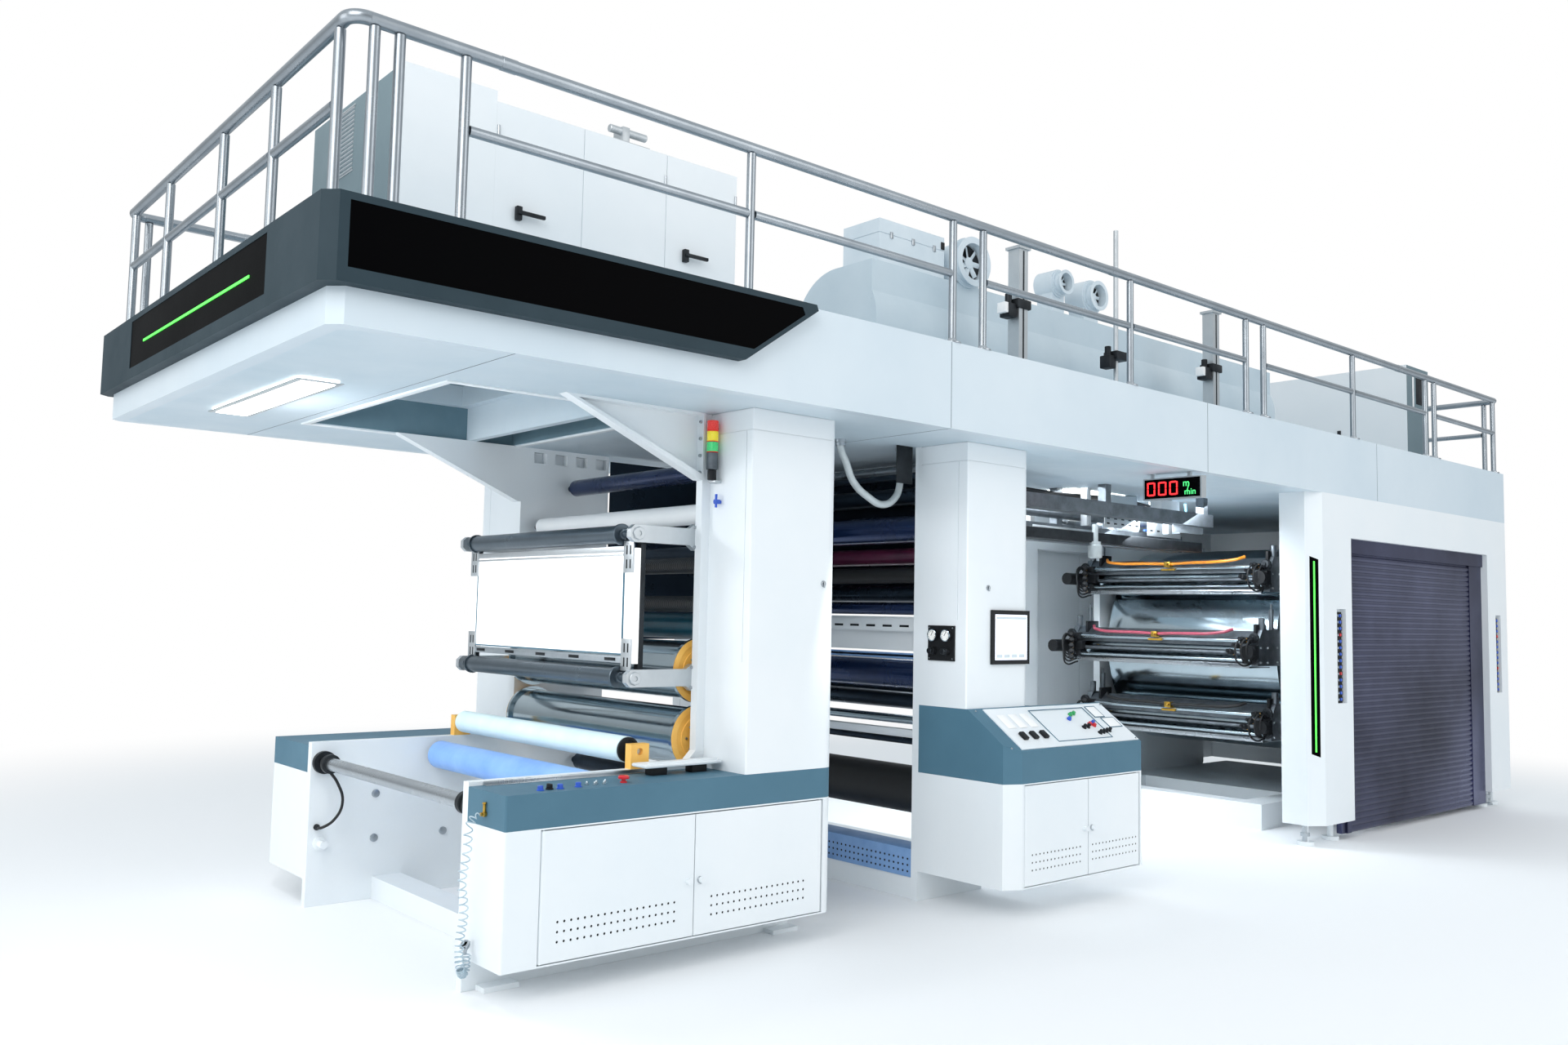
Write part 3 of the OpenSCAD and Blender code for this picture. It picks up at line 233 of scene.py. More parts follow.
BLUE_RUBBER = Finish("blue silicone rubber", "blue_rubber", "#8FBDF8", "#5B92EA", rough=0.35, coat=0.2,
                     grain=Grain.TURNED, grain_mm=10, bump_mm=0.08, patch_mm=240, patch=0.6)
TEAL_RUBBER = Finish("teal rubber", "blue_rubber", "#11586B", "#0B3F52", rough=0.3, coat=0.2, grain_mm=4,
                     patch_mm=160, patch=0.5)
OCHRE = Finish("ochre enamel", "ochre_paint", "#FFC964", "#F4A93E", rough=0.36, coat=0.25, grain_mm=3,
               bump_mm=0.05, patch_mm=90, patch=0.5)
DARK_STEEL = Finish("blackened steel", "dark_steel", "#34383C", "#1C1F22", metal=0.8, rough=0.36, grain_mm=4,
                    bump_mm=0.06, patch_mm=110, patch=0.7)
MACHINED = Finish("machined grey steel", "dark_steel", "#7D848A", "#4E555B", metal=0.9, rough=0.3,
                  grain=Grain.BRUSHED_Y, grain_mm=1.5, bump_mm=0.02, patch_mm=90, patch=0.7)
# Partly painted sheen: the slats are dark anodised metal; the lighter violet grey base colour and the large patches
# that run from it to near black stand for the sheen on the curved slats.
SLAT = Finish("violet anodised slat", "bronze_slats", "#5B5F82", "#14141E", metal=0.9, rough=0.17,
              grain=Grain.BRUSHED_X, grain_mm=1.4, bump_mm=0.01, patch_mm=2400, patch=0.9)
TUNNEL_PAINT = Finish("pale blue grey enamel", "white_paint", "#CBD9E1", "#B5C8D3", rough=0.38, coat=0.1,
                      grain_mm=3, patch_mm=600, patch=0.7)
PALE_GREY = Finish("pale grey enamel", "pale_grey_paint", "#D8E3EA", "#BFD0DA", rough=0.36, coat=0.1,
                   grain_mm=3, patch_mm=260, patch=0.5)
RUBBER = Finish("black rubber", "black_rubber", "#131416", "#202225", rough=0.5, grain_mm=1.5, bump_mm=0.05,
                patch_mm=60, patch=0.4)
BRASS = Finish("brass fitting", "ochre_paint", "#C9A24A", "#8E6B25", metal=1.0, rough=0.26, grain_mm=1.5,
               patch_mm=20, patch=0.6)
AMBER = Finish("orange hose", "ochre_paint", "#F0962A", "#C96F14", rough=0.3, coat=0.4, grain_mm=4, patch_mm=60)
RED_PLASTIC = Finish("red push button", "signal_lens", "#D8202C", "#A81420", rough=0.3, coat=0.4, grain_mm=2,
                     patch_mm=20)
ROSE = Finish("rose hose", "signal_lens", "#A5475A", "#6E2635", rough=0.28, coat=0.4, grain_mm=4, patch_mm=60)
BLUE_PLASTIC = Finish("blue push button", "blue_rubber", "#2F5FD0", "#1E469F", rough=0.3, coat=0.4, grain_mm=2,
                      patch_mm=20)
GREEN_PLASTIC = Finish("green push button", "green_light", "#2FA860", "#1F8048", rough=0.3, coat=0.4, grain_mm=2,
                       patch_mm=20)
YELLOW_LENS = Finish("yellow signal lens", "signal_lens", "#F6E233", "#E3C81C", rough=0.2, coat=0.6, grain_mm=6,
                     patch=0.3, glow=0.15)
RED_LENS = Finish("red signal lens", "signal_lens", "#E8362C", "#C3201C", rough=0.2, coat=0.6, grain_mm=6,
                  patch=0.3, glow=0.15)
GREEN_LENS = Finish("green signal lens", "signal_lens", "#3FD27A", "#25A95B", rough=0.2, coat=0.6, grain_mm=6,
                    patch=0.3, glow=0.15)
RED_DIGIT = Finish("red light digit", "signal_lens", "#FF2A2E", "#FF5A50", rough=0.4, patch=0.2, glow=1.8)
GREEN_DIGIT = Finish("green light digit", "green_light", "#4BE07A", "#7CF09A", rough=0.4, patch=0.2, glow=1.2)
SCREEN = Finish("lit touch screen", "light_panel", "#DDE3F4", "#F6F7FC", rough=0.12, coat=0.6, grain_mm=20,
                bump_mm=0.0, patch_mm=180, patch=0.9, glow=0.75)
DIAL = Finish("white dial card", "light_panel", "#F4F4F0", "#E2E2DC", rough=0.5, patch=0.2)
LABEL = Finish("white label stock", "light_panel", "#F7F8F8", "#E6EAEC", rough=0.45, patch=0.2)
CLEAR_HOSE = Finish("clear ribbed hose", "stainless", "#C9D2D4", "#98A4A8", metal=0.1, rough=0.22, coat=0.6,
                    grain_mm=3, patch_mm=90, patch=0.6)
WHITE_ROLL = Finish("white coated roller", "white_paint", "#F4F8FA", "#DFE8ED", rough=0.28, coat=0.3,
                    grain=Grain.TURNED, grain_mm=8, bump_mm=0.02, patch_mm=300, patch=0.4)
NAVY_ROLL = Finish("navy lacquered roller", "dark_roll", "#16305E", "#0B1B3C", metal=0.6, rough=0.14, coat=0.5,
                   grain=Grain.TURNED, grain_mm=8, bump_mm=0.02, patch_mm=340, patch=0.7)
MAROON_FILM = Finish("maroon printed film", "signal_lens", "#5E2340", "#3A1530", rough=0.22, coat=0.5,
                     grain_mm=30, bump_mm=0.02, patch_mm=160, patch=0.9)
CLEAR_COIL = Finish("clear polyurethane hose", "stainless", "#C6D8E2", "#7E98A8", rough=0.16, coat=0.6, grain_mm=4,
                    patch_mm=70, patch=0.9)
BLUE_SHEET = Finish("pale blue sheet", "blue_rubber", "#7FA6D6", "#5E86BC", rough=0.4, grain_mm=3, patch_mm=120,
                    patch=0.6)
SLATE_TRIM = Finish("dark seam", "slate_paint", "#7F8B94", "#5E6B74", rough=0.5, grain_mm=4)

CAD_FINISH: dict[str, Finish] = {
    "platform_deck": SOFFIT_PAINTED_SHADE, "platform_fascia": FASCIA_PAINTED_SHADE, "fascia_trim": TRIM_PAINT, "dryer_tunnel": TUNNEL_PAINT, "counters": SLATE_PAINT,
    "console_hood": SLATE_PAINT, "trim_panels": BLACK_GLASS, "touch_screen": BLACK_PLASTIC,
    "gauge_panel": BLACK_PLASTIC, "speed_display": ALUMINIUM, "soffit_lights": LAMP,
    "inspection_panel": BOARD_PAINTED_GLOW, "led_lines": GREEN_LINE, "guard_rails": RAIL_STEEL, "roller_arms": ALUMINIUM,
    "lift_columns": ALUMINIUM, "vent_hose": CLEAR_HOSE, "nip_roll_lower": CHROME, "nip_roll_upper": CHROME,
    "anilox_rolls": CHROME, "impression_drum": CHROME, "unwind_shaft": STEEL, "guide_roller_upper": GUIDE_ROLL,
    "guide_roller_lower": GUIDE_ROLL, "web_idlers": DARK_ROLL, "plate_cylinders": CHROME,
    "shaft_bearings": DARK_STEEL, "overhead_beams": MACHINED, "lay_on_roller": PALE_WRAP,
    "spreader_roller": BLUE_RUBBER, "bearing_blocks": OCHRE, "deck_cheeks": MACHINED, "deck_drives": BLACK_PLASTIC,
    "doctor_chambers": MACHINED, "stack_light": BLACK_PLASTIC, "roller_shutter": SLAT, "dryer_fans": PALE_GREY,
    "air_hose": RUBBER, "black_cable": RUBBER,
}


def dress_cad() -> None:
    """Give every CAD node its finish."""
    for name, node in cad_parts.items():
        finish = CAD_FINISH.get(name, WHITE_PAINT)
        node.data.materials.clear()
        node.data.materials.append(finish.material())


def pick(obj: bpy.types.Object) -> None:
    """Make obj the only selected and the active object."""
    bpy.ops.object.select_all(action="DESELECT")
    obj.select_set(True)
    bpy.context.view_layer.objects.active = obj


def settle(obj: bpy.types.Object, name: str) -> bpy.types.Object:
    """Name obj and move its transform into its mesh."""
    pick(obj)
    bpy.ops.object.transform_apply(location=True, rotation=True, scale=True)
    obj.name = name
    return obj


def soften(obj: bpy.types.Object, width: float, segments: int = 2) -> None:
    """Round the edges of obj by width metres."""
    pick(obj)
    bpy.ops.object.mode_set(mode="EDIT")
    bpy.ops.mesh.select_all(action="SELECT")
    bpy.ops.mesh.bevel(offset=width, segments=segments, affect="EDGES")
    bpy.ops.object.mode_set(mode="OBJECT")


def block(low: Point, high: Point, edge: float = 1.5, turn: Point = (0, 0, 0), name: str = "block") -> bpy.types.Object:
    """A box with rounded edges.

    Args:
        low, high: corners in design millimetres, before turning.
        edge: radius of the edges in millimetres.
        turn: rotation about the middle of the box in degrees.
        name: name of the object.

    Returns:
        The box.
    """
    a, b = at(*low), at(*high)
    bpy.ops.object.select_all(action="DESELECT")
    bpy.ops.mesh.primitive_cube_add(size=1, location=(0, 0, 0))
    obj = bpy.context.active_object
    obj.scale = b - a
    bpy.ops.object.transform_apply(location=False, rotation=False, scale=True)
    if edge:
        soften(obj, min(edge * MM, 0.45 * min(b - a)))
    obj.location = (a + b) / 2
    obj.rotation_euler = [math.radians(t) for t in turn]
    return settle(obj, name)


def turned(start: Point, axis: Point, profile: Sequence[Point], sides: int = 24, name: str = "turned") -> bpy.types.Object:
    """A turned piece, extruded ring by ring.

    Args:
        start: where its axis starts, in design millimetres.
        axis: direction of the axis.
        profile: pairs of radius and distance along the axis, in millimetres.
        sides: number of sides.
        name: name of the object.

    Returns:
        The turned piece.
    """
    bpy.ops.object.select_all(action="DESELECT")
    radius, first = profile[0]
    bpy.ops.mesh.primitive_circle_add(vertices=sides, radius=radius * MM, fill_type="NGON", location=(0, 0, 0))
    obj = bpy.context.active_object
    bpy.ops.object.mode_set(mode="EDIT")
    bpy.ops.mesh.select_all(action="SELECT")
    for (r0, z0), (r1, z1) in zip(profile, profile[1:]):
        bpy.ops.mesh.extrude_region_move(TRANSFORM_OT_translate={"value": (0, 0, (z1 - z0) * MM)})
        if abs(r1 - r0) > 1e-6:
            k = r1 / r0
            bpy.ops.transform.resize(value=(k, k, 1), center_override=(0, 0, (z1 - first) * MM))
    bpy.ops.mesh.select_all(action="SELECT")
    bpy.ops.mesh.normals_make_consistent(inside=False)
    bpy.ops.object.mode_set(mode="OBJECT")
    direction = Vector(axis).normalized()
    obj.rotation_euler = direction.to_track_quat("Z", "Y").to_euler()
    obj.location = at(*start) + direction * first * MM
    settle(obj, name)
    bpy.ops.object.shade_smooth_by_angle(angle=math.radians(38))
    return obj


def rod(start: Point, end: Point, d: float, edge: float = 0.0, sides: int = 20, name: str = "rod") -> bpy.types.Object:
    """A round bar of diameter d between two points, with chamfered ends."""
    a, b = Vector(start), Vector(end)
    length = (b - a).length
    r = d / 2
    profile = [(r, 0), (r, length)]
    if edge:
        profile = [(r - edge, 0), (r, edge), (r, length - edge), (r - edge, length)]
    return turned(start, b - a, profile, sides, name)


def smooth_curve(points: Sequence[Point], steps: int = 8) -> bpy.types.Object:
    """A smooth open curve through the given design points."""
    bpy.ops.object.select_all(action="DESELECT")
    bpy.ops.curve.primitive_bezier_curve_add(location=(0, 0, 0))
    obj = bpy.context.active_object
    spline = obj.data.splines[0]
    spline.bezier_points.add(len(points) - len(spline.bezier_points))
    for knot, point in zip(spline.bezier_points, points):
        knot.co = at(*point)
        knot.handle_left_type = knot.handle_right_type = "AUTO"
    obj.data.resolution_u = steps
    return obj


def trace(points: Sequence[Point], steps: int = 8) -> list[Vector]:
    """Points in metres along the smooth curve through the given design points."""
    obj = smooth_curve(points, steps)
    bpy.ops.object.convert(target="MESH")
    line = [vertex.co.copy() for vertex in obj.data.vertices]
    bpy.data.objects.remove(obj)
    return line


def cable(points: Sequence[Point], d: float, sides: int = 3, steps: int = 8, name: str = "cable") -> bpy.types.Object:
    """A flexible round cable of diameter d through the given design points."""
    obj = smooth_curve(points, steps)
    obj.data.bevel_depth = d / 2 * MM
    obj.data.bevel_resolution = sides
    obj.data.use_fill_caps = True
    bpy.ops.object.convert(target="MESH")
    return settle(obj, name)


def ribbed(points: Sequence[Point], d: float, depth: float, pitch: float, sides: int = 20) -> bpy.types.Object:
    """A corrugated hose: one rib, repeated along a curve and bent to it.

    Args:
        points: design points of its route.
        d: outer diameter.
        depth: depth of the grooves.
        pitch: distance from rib to rib.
        sides: number of sides.

    Returns:
        The hose.
    """
    guide = smooth_curve(points, 12)
    low, high = (d / 2 - depth) * MM, d / 2 * MM
    bpy.ops.object.select_all(action="DESELECT")
    bpy.ops.mesh.primitive_circle_add(vertices=sides, radius=low, fill_type="NOTHING", location=(0, 0, 0))
    obj = bpy.context.active_object
    bpy.ops.object.mode_set(mode="EDIT")
    bpy.ops.mesh.select_all(action="SELECT")
    for share, k in ((0.2, high / low), (0.3, 1.0), (0.2, low / high), (0.3, 1.0)):
        bpy.ops.mesh.extrude_region_move(TRANSFORM_OT_translate={"value": (0, 0, share * pitch * MM)})
        bpy.ops.transform.resize(value=(k, k, 1), center_override=(0, 0, 0))
    bpy.ops.mesh.select_all(action="SELECT")
    bpy.ops.mesh.normals_make_consistent(inside=False)
    bpy.ops.object.mode_set(mode="OBJECT")
    bpy.ops.object.modifier_add(type="ARRAY")
    row = obj.modifiers[-1]
    row.fit_type, row.curve, row.use_merge_vertices = "FIT_CURVE", guide, True
    row.relative_offset_displace = (0, 0, 1)
    bpy.ops.object.modifier_apply(modifier=row.name)
    bpy.ops.object.modifier_add(type="CURVE")
    bend = obj.modifiers[-1]
    bend.object, bend.deform_axis = guide, "POS_Z"
    bpy.ops.object.modifier_apply(modifier=bend.name)
    bpy.data.objects.remove(guide)
    return obj


def copies(template: bpy.types.Object, moves: Sequence[Matrix]) -> list[bpy.types.Object]:
    """The template moved to each placement, each with a mesh of its own; the template itself goes."""
    made = []
    for move in moves:
        copy = template.copy()
        copy.data = template.data.copy()
        copy.data.transform(move)
        bpy.context.scene.collection.objects.link(copy)
        made.append(copy)
    bpy.data.objects.remove(template)
    return made


def shift(x: float, y: float, z: float) -> Matrix:
    """A move by design millimetres."""
    return Matrix.Translation(Vector((x, y, z)) * MM)


def piece(name: str, parts: Sequence[bpy.types.Object], finish: Finish, body: str = "machine") -> bpy.types.Object:
    """Join parts into one named piece with a finish that rides on a body.

    Args:
        name: name of the piece.
        parts: the objects to join.
        finish: its finish.
        body: CAD body that carries it.

    Returns:
        The finished piece.
    """
    for part in parts:
        part.data.materials.clear()
        part.data.materials.append(finish.material())
    return joined(name, parts, body)


def joined(name: str, parts: Sequence[bpy.types.Object], body: str) -> bpy.types.Object:
    """Join parts that already have their materials into one piece."""
    bpy.ops.object.select_all(action="DESELECT")
    for part in parts:
        part.select_set(True)
    bpy.context.view_layer.objects.active = parts[0]
    if len(parts) > 1:
        bpy.ops.object.join()
    obj = bpy.context.view_layer.objects.active
    obj.name = obj.data.name = name
    bpy.ops.object.shade_smooth_by_angle(angle=math.radians(38))
    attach(obj, body)
    return obj


def screws(spots: Sequence[Point], axis: Point, d: float = 10.0) -> list[bpy.types.Object]:
    """Socket screws of head diameter d whose heads stand on the given points."""
    r = d / 2
    head = turned((0, 0, 0), axis, [(r, 0), (r, d * 0.42), (r * 0.86, d * 0.55), (r * 0.5, d * 0.55), (r * 0.45, d * 0.3)], 12)
    head.data.transform(Matrix.Translation(-at(0, 0, 0)))
    return copies(head, [Matrix.Translation(at(*spot)) for spot in spots])


def span(a: float, b: float, n: int) -> list[float]:
    """n even steps from a to b."""
    return [a + (b - a) * i / (n - 1) for i in range(n)]


@dataclass
class Cords:
    """Air hose, vent hose and bearing cable."""

    air: tuple[Point, ...] = ((-0.3, 150, 690), (-18, 150, 690), (-36, 150, 690), (-62, 152, 660), (-66, 160, 560),
                              (-78, 170, 450), (-62, 176, 330), (-72, 182, 220), (-60, 190, 120), (-44, 200, 100),
                              (-30, 208, 170))
    vent: tuple[Point, ...] = ((2050, 420, 2359.7), (2050, 420, 2340), (2050, 420, 2320), (2091, 420, 2245),
                               (2145, 420, 2150), (2247, 420, 2082), (2369, 420, 2048), (2462, 420, 2099),
                               (2490, 420, 2171), (2492, 420, 2250), (2492, 420, 2320), (2492, 420, 2340),
                               (2492, 420, 2359.7))
    bearing: tuple[Point, ...] = ((65, 1896, 655), (100, 1880, 600), (130, 1880, 500), (96, 1890, 420), (50, 1916, 384),
                                  (40, 1930, 380), (40, 1948, 380), (40, 1965.7, 380))
    turns: int = 34
    turn_points: int = 14
    coil_r: float = 15.0
    hose_d: float = 5.0

    def build(self) -> None:
        self._air_hose()
        self._vent_hose()
        self._cable()

    def _declare(self, node: str, line: Sequence[Vector]) -> None:
        """Hide the CAD node that a cord stands for."""
        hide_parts(node)

    def _helix(self) -> list[Vector]:
        """Design points of the coiled hose: straight at its fitting, wound more closely further down."""
        axis = [point / MM + MIDDLE for point in trace(self.air, 40)]
        count = self.turns * self.turn_points
        points = []
        for k in range(count + 1):
            share = k / count
            along = 0.1 + 0.9 * share**0.6
            i = min(int(along * (len(axis) - 2)), len(axis) - 2)
            ahead = (axis[i + 1] - axis[i]).normalized()
            side = Vector((0, 1, 0))
            up = ahead.cross(side).normalized()
            side = up.cross(ahead)
            turn = k * math.tau / self.turn_points
            r = self.coil_r * min(1.0, share * self.turns / 2)
            middle = axis[i].lerp(axis[i + 1], along * (len(axis) - 2) - i)
            points.append(middle + r * (math.cos(turn) * side + math.sin(turn) * up))
        return [Vector(self.air[0]), Vector(self.air[0]).lerp(points[0], 0.5), *points]

    def _air_hose(self) -> None:
        """Coiled air hose with its fitting and blow gun."""
        points = self._helix()
        tip = points[-1]
        fitting = piece("air_fitting", [rod((0, 150, 690), (-14, 150, 690), 22, 2, 6), rod((-14, 150, 690), (-24, 150, 690), 14, 1),
                                        rod((-8, 150, 690), (-8, 150, 726), 12, 2), rod((-8, 150, 726), (-8, 150, 734), 17, 2, 6)], BRASS)
        gun = piece("blow_gun", [rod(tip - Vector((0, 0, 4)), tip + Vector((4, -2, 22)), 16, 2),
                                 rod(tip + Vector((4, -2, 20)), tip + Vector((14, -10, 46)), 11, 2),
                                 turned(tip + Vector((4, 0, 30)), (0, 1, 0), [(18, 0), (20, 1), (20, 4), (18, 5), (14, 5), (14, 0)], 28),
                                 rod(tip + Vector((6, -6, 30)), tip + Vector((-22, -6, 24)), 6, 1)], STEEL)
        hose = piece("coiled_air_hose", [cable(points, self.hose_d, 2, 2)], CLEAR_COIL)
        self._declare("air_hose", trace(points, 2))

    def _vent_hose(self) -> None:
        """Corrugated vent hose that sags below the platform."""
        hose = piece("corrugated_vent_hose", [ribbed(self.vent, 44, 3, 11)], CLEAR_HOSE)
        collars = [turned((x, 420, 2360), (0, 0, -1), [(30, 0), (30, 14), (26, 18), (26, 34)], 28) for x in (2050, 2492)]
        piece("vent_collars", collars, GALVANISED)
        self._declare("vent_hose", trace(self.vent, 12))
        plate = [block((2380, 338, 2160), (2500, 344, 2359), 3)]
        piece("vent_bracket", plate, DARK_STEEL)

    def _cable(self) -> None:
        """Cable of the shaft bearing."""
        wire = piece("bearing_cable", [cable(self.bearing, 14, 3, 10)], RUBBER)
        self._declare("black_cable", trace(self.bearing, 10))
        piece("bearing_glands", [turned((40, 1966, 380), (0, -1, 0), [(15, 0), (15, 10), (11, 12), (11, 22), (8, 26)], 18)], BLACK_PLASTIC)


@dataclass
class WebPath:
    """Coverings of the rollers and plates of the web path."""

    inset: float = 62.0
    coverings: tuple[tuple[float, float, float, Finish], ...] = (
        (1195, 1917, 94, WHITE_ROLL), (1200, 1680, 74, RIBBED), (1205, 1500, 74, RIBBED), (1340, 1395, 120, TEAL_RUBBER),
        (1400, 2150, 90, NAVY_ROLL), (1500, 1750, 90, DARK_ROLL), (2850, 2296, 56, STEEL), (2810, 2139, 100, DARK_ROLL),
        (2700, 1942, 147, NAVY_ROLL), (2820, 1800, 95, MAROON_FILM), (2720, 1690, 86, RUBBER), (2710, 1503, 62, NAVY_ROLL),
        (2760, 1146, 162, NAVY_ROLL), (2830, 996, 92, DARK_ROLL), (2700, 903, 46, CHROME), (2740, 784, 30, STEEL),
        (2760, 525, 250, RUBBER))

    def build(self) -> None:
        """Model and finish the pieces."""
        y0, y1 = WEB_FRONT + self.inset, WEB_REAR - self.inset
        for number, (x, z, d, finish) in enumerate(self.coverings):
            r = d / 2
            profile = [(r - 4, 0), (r + 0.8, 1), (r + 0.8, y1 - y0 - 1), (r - 4, y1 - y0)]
            piece(f"roller_cover_{number}", [turned((x, y0, z), (0, 1, 0), profile, 48)], finish)
        self._ends()
        self._plates()
        self._step()

    def _ends(self) -> None:
        """End wheels of the unwinder's rollers."""
        wheels = [turned((x, WEB_FRONT + 58, z), (0, -1, 0), [(r, 0), (r, 10), (r - 5, 14), (r - 12, 14), (r - 14, 6), (12, 6), (12, 30)], 32)
                  for x, z, r in ((1195, 1917, 52), (1340, 1395, 66))]
        piece("roller_wheels_blue", wheels, BLUE_PLASTIC)
        discs = [turned((x, WEB_FRONT + 58, z), (0, -1, 0), [(44, 0), (44, 8), (40, 11), (14, 11), (14, 30)], 28)
                 for x, z in ((1200, 1680), (1205, 1500))]
        piece("roller_discs_black", discs, BLACK_PLASTIC)
        clamp = [turned((1150, WEB_FRONT + 34, 1500), (0, -1, 0), [(34, 0), (34, 14), (16, 16), (16, 4)], 8)]
        piece("roller_clamp", clamp, ALUMINIUM)

    def _plates(self) -> None:
        """Back plates and guide bars of the infeed stack."""
        dark = [block((3030, WEB_FRONT + 1, z0), (3034, WEB_REAR - 1, z1), 0) for z0, z1 in ((1500, 2358), (940, 1240))]
        dark += [block((1652, WEB_REAR - 16, 1300), (2533, WEB_REAR - 12, 2330), 0)]
        piece("infeed_back", dark, DARK_ROLL)
        bars = [block((2694, WEB_FRONT + 2, 1386), (2700, WEB_REAR - 2, 1452), 1), block((2690, WEB_FRONT + 2, 808), (2740, WEB_REAR - 2, 850), 3)]
        piece("infeed_bars", bars, WHITE_PAINT)
        lines = [block((2734, WEB_FRONT + 2, z), (2741, WEB_REAR - 2, z + 10), 1) for z in (1230, 1252)]
        piece("infeed_lines", lines, BLUE_SHEET)
        # Slots in the white bar are thin dark blocks: painted shade in the slots.
        slots = [block((2692.5, y, 1404), (2695, y + 70, 1416), 0.5) for y in span(WEB_FRONT + 60, WEB_REAR - 130, 12)]
        piece("infeed_slot_shade", slots, DARK_STEEL)

    def _step(self) -> None:
        """Blue perforated step at the foot of the infeed unit."""
        x = 2536
        riser = [block((x, WEB_FRONT + 4, 112), (x + 6, WEB_REAR - 4, 252), 1), block((x, WEB_FRONT + 4, 250), (2700, WEB_REAR - 4, 257), 2)]
        piece("infeed_step", riser, BLUE_SHEET)
        # The perforations are thin dark discs on the riser: painted shade in the holes.
        dot = turned((x, 0, 0), (-1, 0, 0), [(6, 0), (6, 0.6)], 10)
        dots = copies(dot, [shift(0, y, z) for y in span(WEB_FRONT + 30, WEB_REAR - 30, 48) for z in (140, 172, 204)])
        piece("infeed_step_hole_shade", dots, DARK_STEEL)
        piece("infeed_step_blocks", [block((2548, WEB_FRONT + 3, 190), (2690, WEB_REAR - 3, 249), 2)], WHITE_PAINT)


@dataclass
class Platform:
    """Small parts of the bridge: seams, soffit trims and lamps."""

    seams: tuple[float, ...] = (-158.0, 2148.0, 4450.0, 6750.0)
    well: tuple[float, float, float, float] = (-74.0, 1040.0, 440.0, 2000.0)

    def build(self) -> None:
        """Model and finish the pieces."""
        lines = [block((x - 1.5, -241.2, 2362), (x + 1.5, -239, 2778), 0) for x in self.seams if x > 1300]
        lines += [block((x - 1.5, -239, 2358.8), (x + 1.5, 2690, 2361), 0) for x in (self.seams[0], 2148)]
        piece("platform_seams", lines, SLATE_TRIM)
        x0, x1, y0, y1 = self.well
        frame_w = 34
        trims = [block((x0 - frame_w, y0 - frame_w, 2353), (x1 + frame_w, y0, 2361), 2),
                 block((x0 - frame_w, y1, 2353), (x1 + frame_w, y1 + frame_w, 2361), 2),
                 block((x0 - frame_w, y0, 2353), (x0, y1, 2361), 2), block((x1, y0, 2353), (x1 + frame_w, y1, 2361), 2)]
        piece("well_trim", trims, WHITE_PAINT)
        # The ceiling and the two far walls of the well get thin blue grey plates: painted shade.
        ceilings = [block((x0 + 42, y0 + 62, 2642), (700, y1 - 62, 2649), 0), block((808, y0 + 2, 2642), (x1 - 2, y1 - 2, 2649), 0)]
        ceilings += [block((x0 + 2, y1 - 5, 2364), (x1 - 2, y1 - 1, 2641), 0), block((x1 - 5, y0 + 2, 2364), (x1 - 1, y1 - 6, 2641), 0)]
        piece("well_painted_shade", ceilings, WELL_PAINTED_SHADE)
        bezel = [block((-574, 746, 2344), (-386, 1914, 2349), 2)]
        piece("soffit_lamp_bezel", bezel, ALUMINIUM)
        piece("soffit_lamp_glass", [block((-548, 772, 2341), (-412, 1888, 2345), 1)], LAMP)


@dataclass
class Rails:
    """Flanges and sleeves of the guard rail."""

    posts: tuple[float, ...] = (-612, -370, 921, 2189, 2413, 3691, 4969, 5190, 6456, 7698, 7868, 9085)
    y: float = -205.0

    def build(self) -> None:
        """Model and finish the pieces."""
        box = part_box("guard_rails")
        high = box[1].z / MM
        flange = turned((0, 0, 0), (0, 0, 1), [(44, 0), (44, 5), (41, 8), (24, 8), (22, 22), (20, 24)], 28)
        feet = copies(flange, [shift(x, y, DECK_TOP) for x in self.posts for y in (self.y, 2665)])
        piece("rail_flanges", feet, STEEL)
        sleeve = turned((0, 0, 0), (1, 0, 0), [(24.6, 0), (25.6, 1), (25.6, 62), (24.6, 63)], 28)
        sleeves = copies(sleeve, [shift(x, y, high - 24) for x in (-240, 3500, 7200) for y in (self.y, 2665)])
        piece("rail_sleeves", sleeves, RAIL_STEEL)


